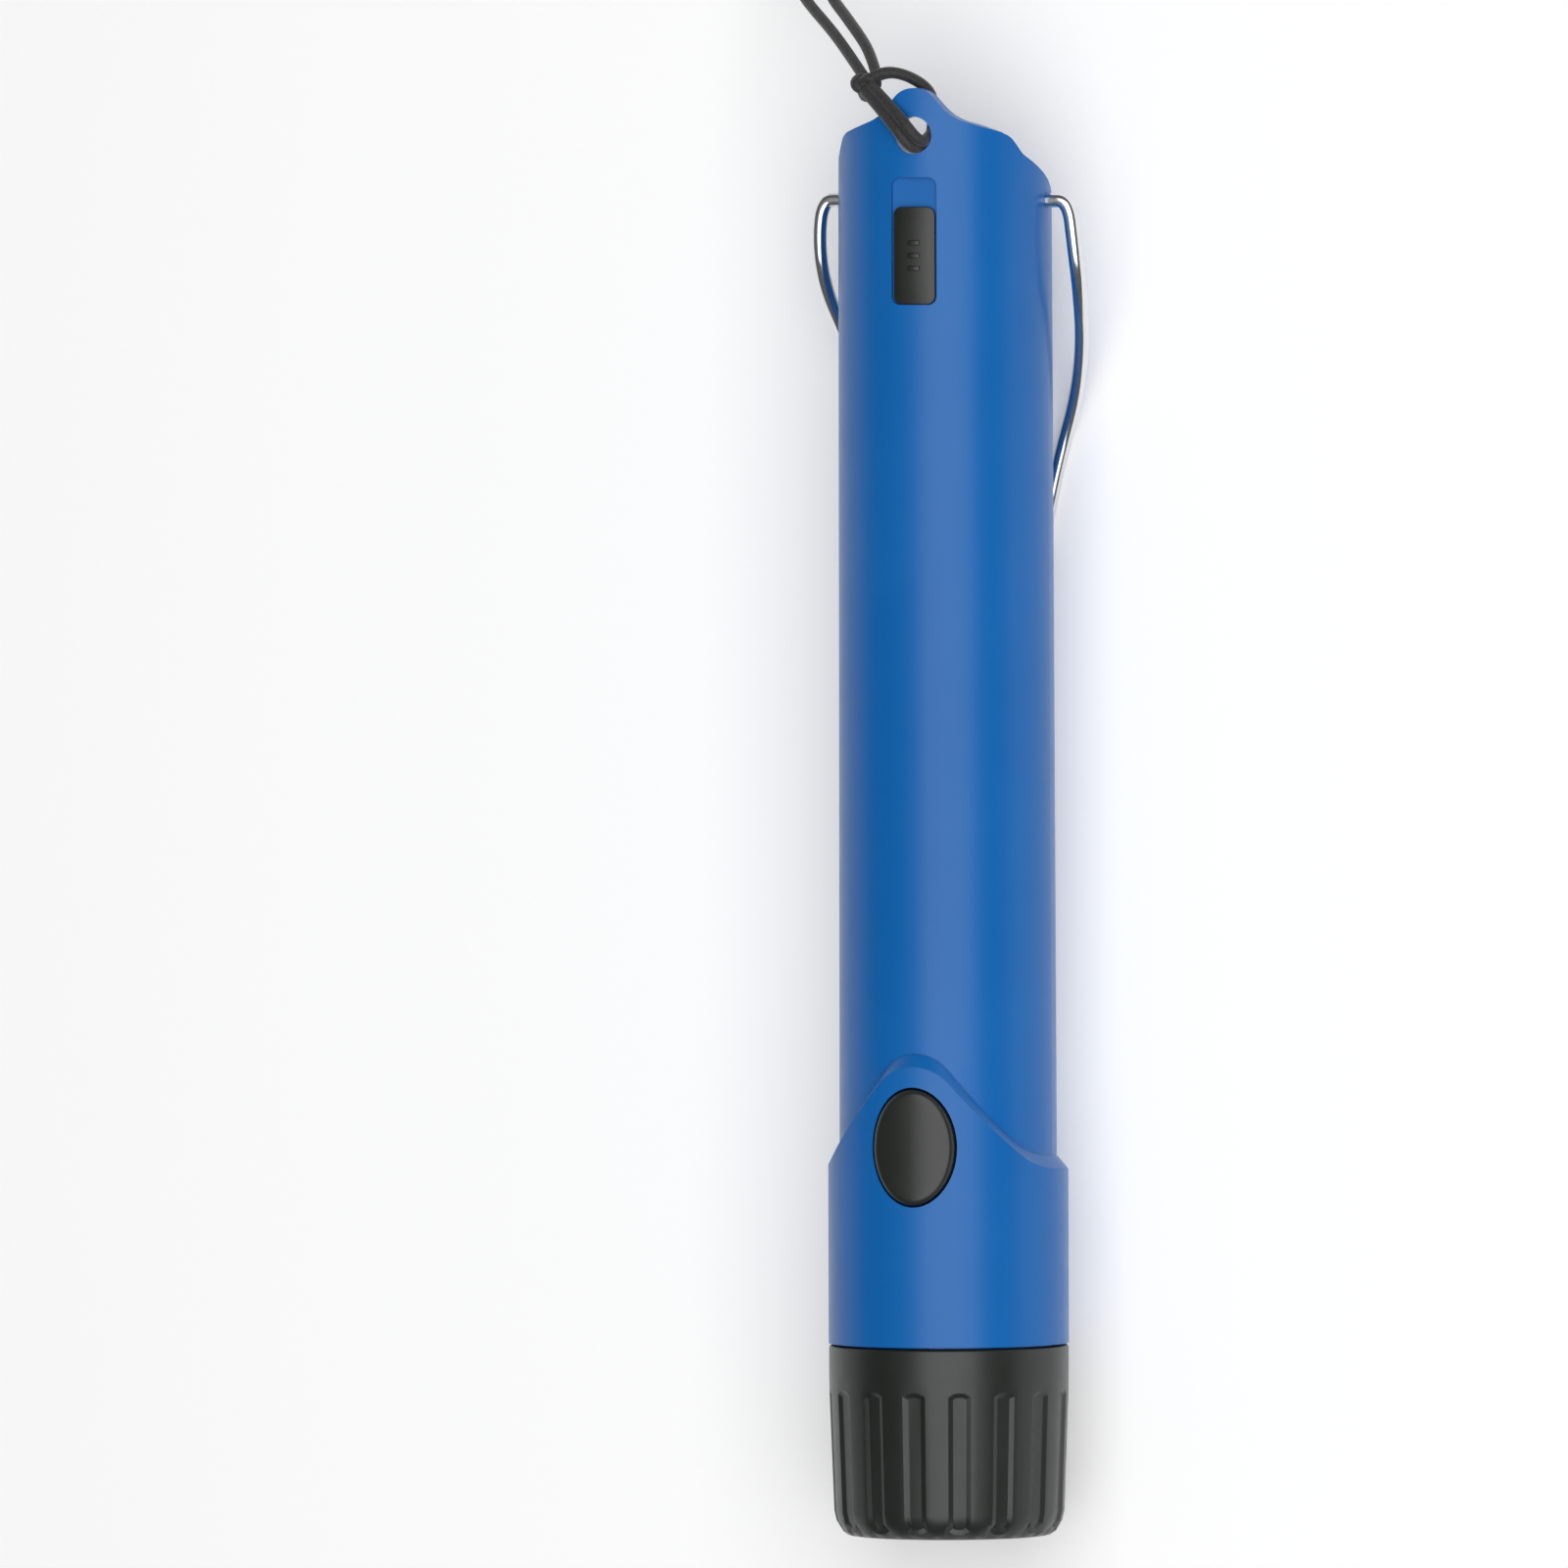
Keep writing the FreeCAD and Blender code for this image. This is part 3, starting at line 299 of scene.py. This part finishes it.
# %% The cap's rings
CAP_SIDES = 128
FLUTES = 16
CAP_PROFILE = [
    (13.5, 0.0), (15.0, 0.2), (15.9, 0.8), (16.75, 2.3), (17.1, 3.8), (17.76, 22.0),
    (17.8, 24.0), (17.8, 28.15), (17.55, 28.4), (15.95, 28.4), (15.7, 28.15), (15.7, 26.5),
    (16.5, 26.5), (16.5, 23.9), (15.7, 23.9), (15.7, 2.9), (15.3, 2.5),
]
FLUTE_ROWS = (0.8, 22.0)


def from_nose(distance):
    """A place on the axis, given in millimetres from the nose."""
    return Vector((0, NOSE_Y + distance * MM, AXIS_Z))


cap = begin(
    "fluted_cap", bpy.ops.mesh.primitive_circle_add, vertices=CAP_SIDES,
    radius=CAP_PROFILE[0][0] * MM, fill_type="NOTHING", location=from_nose(0),
    rotation=(math.pi / 2, 0, 0),
)
bpy.ops.mesh.select_all(action="SELECT")
for (radius, distance), (next_radius, next_distance) in zip(CAP_PROFILE, CAP_PROFILE[1:]):
    bpy.ops.mesh.extrude_region_move(
        TRANSFORM_OT_translate={"value": (0, (next_distance - distance) * MM, 0)}
    )
    grow = next_radius / radius
    bpy.ops.transform.resize(value=(grow, 1, grow), center_override=from_nose(next_distance))
print("cap rings:", len(CAP_PROFILE))


# %% Close the cap's two ends
def ring_at(radius, distance):
    """A test for the edges of one ring, from the ring's radius and place."""
    def test(one, other):
        return all(
            abs((point - from_nose(distance)).length - radius * MM) < 0.00002
            for point in (one, other)
        )
    return test


for radius, distance in (CAP_PROFILE[0], CAP_PROFILE[-1]):
    print("closing a ring of", choose_edges(cap, ring_at(radius, distance)), "edges")
    bpy.ops.mesh.edge_face_add()
bpy.ops.mesh.select_all(action="SELECT")
bpy.ops.mesh.normals_make_consistent(inside=False)

# %% [markdown]
# ## The grip flutes
# Each flute takes four of the cap's sides and runs out into the rounded foot. The ends of
# its outline are slid towards its middle first, which rounds the corners, and one inset
# with a depth then sinks them all.

# %% Round the flutes' ends and sink them
FLUTE_PITCH = 360 / FLUTES
SIDE = 360 / CAP_SIDES
END_ROUNDING = {2: 0.6, 1: 0.1}
FLUTE_SKIN = 15.8


def off_flute(point):
    """The angle in degrees from the nearest flute's middle."""
    angle = math.degrees(math.atan2(point.x, point.z - AXIS_Z))
    return (angle + FLUTE_PITCH / 2) % FLUTE_PITCH - FLUTE_PITCH / 2


mesh = bmesh.from_edit_mesh(cap.data)
for vertex in mesh.verts:
    reach = math.hypot(vertex.co.x, vertex.co.z - AXIS_Z)
    sides_off = round(abs(off_flute(vertex.co)) / SIDE)
    if reach > FLUTE_SKIN * MM and sides_off in END_ROUNDING:
        for row, way in zip(FLUTE_ROWS, (1, -1)):
            if abs(vertex.co.y - from_nose(row).y) < 0.00002:
                vertex.co.y += way * END_ROUNDING[sides_off] * MM
bmesh.update_edit_mesh(cap.data)


def in_flute(middle, normal):
    along = (middle.y - NOSE_Y) / MM
    reach = math.hypot(middle.x, middle.z - AXIS_Z)
    inside = FLUTE_ROWS[0] < along < FLUTE_ROWS[1] and reach > FLUTE_SKIN * MM
    return inside and abs(off_flute(middle)) < 2 * SIDE


print("flute faces:", choose_faces(cap, in_flute))
bpy.ops.mesh.inset(thickness=0.7 * MM, depth=-0.42 * MM)
close_edit(cap, 0.16 * MM, smooth_degrees=28)

# %% [markdown]
# ## The bayonet's entries
# The lugs enter the groove through three short ways in the cap's rim. They lie inside, so
# plain blocks taken away by a boolean are enough.

# %% Cut the entries
ENTRY_ANGLES = (45, 165, 285)
for angle in ENTRY_ANGLES:
    turn = math.radians(angle)
    place = from_nose(27.5) + Vector((math.cos(turn), 0, -math.sin(turn))) * 15.6 * MM
    way = begin(
        "entry", bpy.ops.mesh.primitive_cube_add, size=MM, location=place,
        rotation=(0, turn, 0), scale=(1.8, 2.2, 5.0),
    )
    bpy.ops.object.mode_set(mode="OBJECT")
    notch = cap.modifiers.new("entry", "BOOLEAN")
    notch.operation = "DIFFERENCE"
    notch.object = way
    bpy.ops.object.select_all(action="DESELECT")
    bpy.context.view_layer.objects.active = cap
    cap.select_set(True)
    bpy.ops.object.modifier_apply(modifier=notch.name)
    bpy.data.objects.remove(way, do_unlink=True)
print("cap with entries:", len(cap.data.polygons), "faces")

# %% [markdown]
# ## The push button
# The button is an oval cap with a rim that rolls over and a face that follows the sleeve's
# curve. A scaled cylinder is its lip; the shank and the face grow out of that by extrusion,
# and the face's rings shrink towards the middle, where they close.

# %% The button
BUTTON_MIDDLE = from_nose(58.4)
BUTTON_HALF = (6.25, 8.6)
BUTTON_CROWN = 18.55
LIP = 1.0
ROOT = 10.6
LIP_THICK = 1.2
RIM_STEPS = [(1.0, 0.75), (0.985, 0.42), (0.955, 0.18), (0.915, 0.04), (0.88, 0.0)]
FACE_STEPS = [0.76, 0.62, 0.48, 0.34, 0.2, 0.07]

button = begin(
    "thumb_button", bpy.ops.mesh.primitive_cylinder_add, vertices=72, radius=MM,
    depth=LIP_THICK * MM, location=BUTTON_MIDDLE + Vector((0, 0, (ROOT + LIP_THICK / 2) * MM)),
    scale=(BUTTON_HALF[0] + LIP, BUTTON_HALF[1] + LIP, 1),
)
lip_top = AXIS_Z + (ROOT + LIP_THICK) * MM
choose_faces(button, lambda middle, normal: normal.z > 0.9)
levels = [(1.0, lip_top)]
levels += [(share, AXIS_Z + (BUTTON_CROWN - drop) * MM) for share, drop in RIM_STEPS]
levels += [(share, AXIS_Z + BUTTON_CROWN * MM) for share in FACE_STEPS]
shares = [((BUTTON_HALF[0] + LIP) / BUTTON_HALF[0], (BUTTON_HALF[1] + LIP) / BUTTON_HALF[1])]
shares += [(share, share) for share, height in levels]
height_now = lip_top
for (wide, long), (next_wide, next_long), (share, height) in zip(shares, shares[1:], levels):
    bpy.ops.mesh.extrude_region_move(
        TRANSFORM_OT_translate={"value": (0, 0, height - height_now)}
    )
    bpy.ops.transform.resize(
        value=(next_wide / wide, next_long / long, 1),
        center_override=(0, BUTTON_MIDDLE.y, height),
    )
    height_now = height
bpy.ops.mesh.merge(type="CENTER")

# %% Bend the button's face round the barrel's axis
mesh = bmesh.from_edit_mesh(button.data)
for vertex in mesh.verts:
    if vertex.co.z > lip_top + 0.001:
        drop = BUTTON_CROWN * MM - math.sqrt((BUTTON_CROWN * MM) ** 2 - vertex.co.x ** 2)
        vertex.co.z -= drop
bmesh.update_edit_mesh(button.data)
close_edit(button, 0)

# %% [markdown]
# ## The slide switch's knob
# The knob is a long block with round corners, crowned like the barrel, with three small
# grip ridges and a stem underneath. A cube is bevelled, cut lengthwise so that it can bend,
# and crowned. One ridge is modelled, and the other two are copies of it.

# %% The knob's block
KNOB_LOW, KNOB_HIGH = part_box("slide_knob")
KNOB_MIDDLE_Y = (KNOB_LOW[1] + KNOB_HIGH[1]) / 2
KNOB_HALF = ((KNOB_HIGH[0] - KNOB_LOW[0]) / 2, (KNOB_HIGH[1] - KNOB_LOW[1]) / 2)
HEAD = 15.8
KNOB_FLOOR = 14.9
STEM_TIP = 9.8

knob = begin(
    "switch_knob", bpy.ops.mesh.primitive_cube_add, size=1,
    location=(0, KNOB_MIDDLE_Y, AXIS_Z + (KNOB_FLOOR + HEAD) / 2 * MM),
    scale=(2 * KNOB_HALF[0], 2 * KNOB_HALF[1], (HEAD - KNOB_FLOOR) * MM),
)
choose_edges(knob, lambda one, other: abs(one.z - other.z) > 0.0005)
bpy.ops.mesh.bevel(offset=1.2 * MM, segments=5, affect="EDGES")
for step in range(-3, 4):
    bpy.ops.mesh.select_all(action="SELECT")
    bpy.ops.mesh.bisect(plane_co=(step * 0.75 * MM, 0, 0), plane_no=(1, 0, 0))
mesh = bmesh.from_edit_mesh(knob.data)
for vertex in mesh.verts:
    if vertex.co.z > AXIS_Z + (KNOB_FLOOR + 0.3) * MM:
        vertex.co.z = AXIS_Z + math.sqrt((HEAD * MM) ** 2 - vertex.co.x ** 2)
bmesh.update_edit_mesh(knob.data)
close_edit(knob, 0.14 * MM)

# %% The ridges and the stem, joined to the knob
extras = []
for step in (-1, 0, 1):
    ridge = begin(
        "ridge", bpy.ops.mesh.primitive_cube_add, size=MM, scale=(1.9, 0.75, 0.5),
        location=(0, KNOB_MIDDLE_Y + step * 1.9 * MM, AXIS_Z + HEAD * MM),
    )
    close_edit(ridge, 0.2 * MM)
    extras.append(ridge)
stem = begin(
    "stem", bpy.ops.mesh.primitive_cube_add, size=MM, scale=(2.6, 5.0, KNOB_FLOOR - STEM_TIP),
    location=(0, KNOB_MIDDLE_Y, AXIS_Z + (KNOB_FLOOR + STEM_TIP) / 2 * MM),
)
close_edit(stem, 0.15 * MM)
bpy.ops.object.select_all(action="DESELECT")
for piece in extras + [stem, knob]:
    piece.select_set(True)
bpy.context.view_layer.objects.active = knob
bpy.ops.object.join()
print("knob:", len(knob.data.polygons), "faces")

# %% [markdown]
# ## The wire clip
# A spring clip is one length of wire, bent cold, so its bends are long and even. A NURBS
# line with a round bevel has just that look. Its two ends run straight into their sockets.

# %% The clip's line
WIRE = 0.0011
CLIP_SIDE = [
    (11.1, 0.0, 198.4), (13.4, 0.0, 198.4), (15.8, 0.0, 198.4), (19.2, 0.0, 198.4),
    (19.9, 0.4, 191.6), (19.8, 3.4, 185.0), (18.4, 9.4, 177.4), (15.9, 14.7, 169.4),
    (12.4, 17.55, 160.4), (10.4, 17.65, 151.6), (8.6, 17.65, 143.0),
]
side = [Vector((x * MM, NOSE_Y + h * MM, AXIS_Z - back * MM)) for x, back, h in CLIP_SIDE]
other_side = [Vector((-point.x, point.y, point.z)) for point in side[::-1]]
clip = nurbs("bent_wire_clip", side + other_side)
clip.data.resolution_u = 12
clip.data.bevel_depth = WIRE
clip.data.bevel_resolution = 6
clip.data.use_fill_caps = True
print("clip wire", round(measured(clip)[1], 4), "m")

# %% [markdown]
# ## Finishes
# Each finish is a small set of nodes on Object coordinates, so a pattern stays at its real
# scale on every piece. Colours and gloss that don't vary sit on the shader's own sockets.


# %% A helper for materials
def finish(name, colour, rough, metal=0.0, gloss=0.5):
    """A material with its shader, ready for a pattern. Half is a plain plastic's gloss."""
    made = bpy.data.materials.new(name)
    made.use_nodes = True
    shader = made.node_tree.nodes["Principled BSDF"]
    shader.inputs["Base Color"].default_value = (*colour, 1)
    shader.inputs["Roughness"].default_value = rough
    shader.inputs["Metallic"].default_value = metal
    shader.inputs["Specular IOR Level"].default_value = gloss
    return made, made.node_tree.nodes, made.node_tree.links, shader


def mottle(made, scale, low, high, socket, detail=3.0):
    """Feeds a socket with noise that swings between two values."""
    tree = made.node_tree
    coords = tree.nodes.new("ShaderNodeTexCoord")
    noise = tree.nodes.new("ShaderNodeTexNoise")
    noise.inputs["Scale"].default_value = scale
    noise.inputs["Detail"].default_value = detail
    spread = tree.nodes.new("ShaderNodeMapRange")
    spread.inputs["To Min"].default_value = low
    spread.inputs["To Max"].default_value = high
    tree.links.new(coords.outputs["Object"], noise.inputs["Vector"])
    tree.links.new(noise.outputs["Fac"], spread.inputs["Value"])
    tree.links.new(spread.outputs["Result"], tree.nodes["Principled BSDF"].inputs[socket])
    return noise


def tint(made, scale, one, other):
    """Lets the colour drift between two close shades."""
    tree = made.node_tree
    coords = tree.nodes.new("ShaderNodeTexCoord")
    noise = tree.nodes.new("ShaderNodeTexNoise")
    noise.inputs["Scale"].default_value = scale
    ramp = tree.nodes.new("ShaderNodeValToRGB")
    ramp.color_ramp.elements[0].position = 0.35
    ramp.color_ramp.elements[0].color = (*one, 1)
    ramp.color_ramp.elements[1].position = 0.65
    ramp.color_ramp.elements[1].color = (*other, 1)
    tree.links.new(coords.outputs["Object"], noise.inputs["Vector"])
    tree.links.new(noise.outputs["Fac"], ramp.inputs["Fac"])
    tree.links.new(ramp.outputs["Color"], tree.nodes["Principled BSDF"].inputs["Base Color"])


def grain(made, scale, strength, depth):
    """A fine raised grain, as a spark-eroded mould leaves."""
    tree = made.node_tree
    coords = tree.nodes.new("ShaderNodeTexCoord")
    noise = tree.nodes.new("ShaderNodeTexNoise")
    noise.inputs["Scale"].default_value = scale
    noise.inputs["Detail"].default_value = 4.0
    bump = tree.nodes.new("ShaderNodeBump")
    bump.inputs["Strength"].default_value = strength
    bump.inputs["Distance"].default_value = depth
    tree.links.new(coords.outputs["Object"], noise.inputs["Vector"])
    tree.links.new(noise.outputs["Fac"], bump.inputs["Height"])
    tree.links.new(bump.outputs["Normal"], tree.nodes["Principled BSDF"].inputs["Normal"])


# %% Moulded plastics
blue, *_ = finish("blue_moulded", (0.002, 0.138, 0.475), 0.34, gloss=0.36)
tint(blue, 40.0, (0.001, 0.134, 0.465), (0.003, 0.143, 0.485))
mottle(blue, 220.0, 0.30, 0.38, "Roughness")
grain(blue, 2600.0, 0.05, 0.00004)

black, *_ = finish("black_moulded", (0.011, 0.015, 0.012), 0.36, gloss=0.56)
tint(black, 60.0, (0.010, 0.014, 0.011), (0.013, 0.017, 0.014))
mottle(black, 300.0, 0.31, 0.42, "Roughness")
grain(black, 3000.0, 0.08, 0.00004)

button_black, *_ = finish("button_satin", (0.013, 0.016, 0.013), 0.34, gloss=0.55)
tint(button_black, 90.0, (0.012, 0.015, 0.012), (0.015, 0.018, 0.015))
grain(button_black, 3600.0, 0.10, 0.00004)

grey, *_ = finish("chassis_grey", (0.30, 0.31, 0.32), 0.5)
tint(grey, 60.0, (0.28, 0.29, 0.30), (0.33, 0.34, 0.35))
grain(grey, 2000.0, 0.1, 0.00005)

rubber, *_ = finish("seal_rubber", (0.012, 0.012, 0.012), 0.7)
mottle(rubber, 400.0, 0.6, 0.8, "Roughness")

# %% Metals
wire_metal, *_ = finish("bright_wire", (0.78, 0.78, 0.80), 0.14, metal=1.0)
mottle(wire_metal, 900.0, 0.10, 0.20, "Roughness")

steel, *_ = finish("plated_steel", (0.60, 0.60, 0.58), 0.3, metal=1.0)
mottle(steel, 700.0, 0.22, 0.40, "Roughness")

can_metal, *_ = finish("can_aluminium", (0.70, 0.70, 0.72), 0.35, metal=1.0)
mottle(can_metal, 500.0, 0.28, 0.42, "Roughness")

copper, nodes_of, links_of, shader_of = finish("winding_copper", (0.55, 0.20, 0.07), 0.35, metal=1.0)
coords = nodes_of.new("ShaderNodeTexCoord")
wave = nodes_of.new("ShaderNodeTexWave")
wave.bands_direction = "Y"
wave.inputs["Scale"].default_value = 900.0
bump = nodes_of.new("ShaderNodeBump")
bump.inputs["Distance"].default_value = 0.0001
links_of.new(coords.outputs["Object"], wave.inputs["Vector"])
links_of.new(wave.outputs["Color"], bump.inputs["Height"])
links_of.new(bump.outputs["Normal"], shader_of.inputs["Normal"])

ferrite, *_ = finish("sintered_ferrite", (0.05, 0.05, 0.055), 0.65)
grain(ferrite, 1500.0, 0.3, 0.00008)

board_green, *_ = finish("solder_mask", (0.01, 0.11, 0.04), 0.3)
tint(board_green, 300.0, (0.008, 0.09, 0.03), (0.015, 0.14, 0.05))

jacket, *_ = finish("cell_jacket", (0.35, 0.36, 0.38), 0.3)
tint(jacket, 80.0, (0.32, 0.33, 0.35), (0.40, 0.41, 0.43))

# %% [markdown]
# ## The cord's braid
# A braid reads as small diagonal stitches. On so thin a cord a fine cell pattern gives the same broken
# gleam, so a Voronoi texture drives a bump and painted shade: each cell is painted lighter in its raised
# middle and darker towards its sunken edges.

# %% Braid
braid, braid_nodes, braid_links, braid_shader = finish("braided_cord", (0.022, 0.021, 0.020), 0.62)
coords = braid_nodes.new("ShaderNodeTexCoord")
cells = braid_nodes.new("ShaderNodeTexVoronoi")
cells.inputs["Scale"].default_value = 2400.0
# The ramp paints shade into the braid: light at each cell's middle, dark at its edges, where the bump
# sinks.
painted_cell_shade = braid_nodes.new("ShaderNodeValToRGB")
painted_cell_shade.color_ramp.elements[0].color = (0.034, 0.033, 0.032, 1)
painted_cell_shade.color_ramp.elements[1].color = (0.012, 0.012, 0.012, 1)
bump = braid_nodes.new("ShaderNodeBump")
bump.inputs["Strength"].default_value = 0.5
bump.inputs["Distance"].default_value = 0.0001
bump.invert = True
braid_links.new(coords.outputs["Object"], cells.inputs["Vector"])
braid_links.new(cells.outputs["Distance"], painted_cell_shade.inputs["Fac"])
braid_links.new(painted_cell_shade.outputs["Color"], braid_shader.inputs["Base Color"])
braid_links.new(cells.outputs["Distance"], bump.inputs["Height"])
braid_links.new(bump.outputs["Normal"], braid_shader.inputs["Normal"])
braid_shader.inputs["Sheen Weight"].default_value = 0.25


# %% Give every node and cord its finish
def wear(piece, material):
    piece.data.materials.clear()
    piece.data.materials.append(material)


FINISHES = {
    "barrel": blue, "front_sleeve": blue, "nose_cap": black, "cap_seal": rubber,
    "push_button": button_black, "tactile_switch": black, "slide_knob": button_black,
    "slide_switch": black, "switch_board": board_green, "wire_clip": wire_metal,
    "chassis": grey, "main_board": board_green, "chassis_screws": steel, "main_chip": black,
    "capacitors": can_metal, "buzzer": black, "vibration_motor": steel,
    "front_bulkhead": grey, "coil_former": grey, "ferrite_core": ferrite,
    "search_coil": copper, "battery_carrier": black, "battery_cells": jacket,
    "battery_contacts": steel, "battery_springs": steel,
}
for node, material in FINISHES.items():
    wear(nodes[node], material)
for piece in (wrist_cord, hitch, hitch_pair, knot):
    wear(piece, braid)
    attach(piece, "housing")
for piece, material, node, slot in (
    (cap, black, "nose_cap", "black_cap"),
    (button, button_black, "push_button", "black_button"),
    (knob, button_black, "slide_knob", "black_button"),
    (clip, wire_metal, "wire_clip", "bright_wire"),
):
    wear(piece, material)
    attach(piece, node)
    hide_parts(node)
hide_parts("wrist_cord_out", "wrist_cord_back", "cord_coil")
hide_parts("cord_hitch")
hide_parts("cord_knot")

# %% [markdown]
# ## Table and light
# A pale table lies under the probe. One wide soft lamp overhead draws the broad gleam down
# the barrel, and two weak side lamps, far off and clear of the table so that they draw no
# line on it, lift its flanks. The room is dark between the lamp and a white horizon, because a gloss needs something dark to reflect beside the light. The
# table shows paler to the camera, and to gloss, than it is lit, so that it reads as white
# and still keeps the probe's soft shadow.

# %% Table
bpy.ops.object.select_all(action="DESELECT")
bpy.ops.mesh.primitive_plane_add(size=9, location=(0, 0, 0))
table = bpy.context.object
table.name = "table"
paper, paper_nodes, paper_links, paper_shader = finish("pale_table", (0.86, 0.86, 0.86), 0.9)
glow = paper_nodes.new("ShaderNodeEmission")
glow.inputs["Color"].default_value = (1, 1, 1, 1)
glow.inputs["Strength"].default_value = 0.27
add = paper_nodes.new("ShaderNodeAddShader")
mix = paper_nodes.new("ShaderNodeMixShader")
ray = paper_nodes.new("ShaderNodeLightPath")
seen = paper_nodes.new("ShaderNodeMath")
seen.operation = "MAXIMUM"
mirrored = paper_nodes.new("ShaderNodeMath")
mirrored.operation = "MAXIMUM"
output = paper_nodes["Material Output"]
paper_links.new(ray.outputs["Is Glossy Ray"], mirrored.inputs[0])
paper_links.new(ray.outputs["Is Transmission Ray"], mirrored.inputs[1])
paper_links.new(ray.outputs["Is Camera Ray"], seen.inputs[0])
paper_links.new(mirrored.outputs["Value"], seen.inputs[1])
paper_links.new(paper_shader.outputs["BSDF"], add.inputs[0])
paper_links.new(glow.outputs["Emission"], add.inputs[1])
paper_links.new(seen.outputs["Value"], mix.inputs["Fac"])
paper_links.new(paper_shader.outputs["BSDF"], mix.inputs[1])
paper_links.new(add.outputs["Shader"], mix.inputs[2])
paper_links.new(mix.outputs["Shader"], output.inputs["Surface"])
table.data.materials.append(paper)


# %% Lamps and world
def lamp(name, place, target, wide, long, power):
    """A rectangular lamp whose long side lies along the probe."""
    data = bpy.data.lights.new(name, "AREA")
    data.shape = "RECTANGLE"
    data.size = wide
    data.size_y = long
    data.energy = power
    made = bpy.data.objects.new(name, data)
    bpy.context.scene.collection.objects.link(made)
    away = (Vector(place) - Vector(target)).normalized()
    side = Vector((0, 1, 0)).cross(away).normalized()
    made.matrix_world = Matrix.Translation(place) @ Matrix(
        (side, away.cross(side), away)
    ).transposed().to_4x4()
    return made


MIDDLE = (0, 0, AXIS_Z)
lamp("over_lamp", (0.30, 0.0, 0.97), MIDDLE, 1.1, 1.6, 11.4)
lamp("left_lamp", (-2.3, 0.0, 0.31), MIDDLE, 0.5, 3.2, 2.3)
lamp("right_lamp", (2.4, 0.0, 0.31), MIDDLE, 0.5, 3.2, 1.0)

world = bpy.data.worlds.new("room")
world.use_nodes = True
room_nodes = world.node_tree.nodes
room_links = world.node_tree.links
room = room_nodes["Background"]
coords = room_nodes.new("ShaderNodeTexCoord")
split = room_nodes.new("ShaderNodeSeparateXYZ")
sky = room_nodes.new("ShaderNodeValToRGB")
SKY = ((0.03, 1.0), (0.07, 0.10), (0.75, 0.12), (1.0, 0.30))
bands = sky.color_ramp.elements
while len(bands) < len(SKY):
    bands.new(0.5)
for band, (height, level) in zip(bands, SKY):
    band.position = height
    band.color = (level, level, level, 1)
room_links.new(coords.outputs["Generated"], split.inputs["Vector"])
room_links.new(split.outputs["Z"], sky.inputs["Fac"])
room_links.new(sky.outputs["Color"], room.inputs["Color"])
room.inputs["Strength"].default_value = 1.0
bpy.context.scene.world = world
bpy.context.scene.view_settings.view_transform = "Standard"
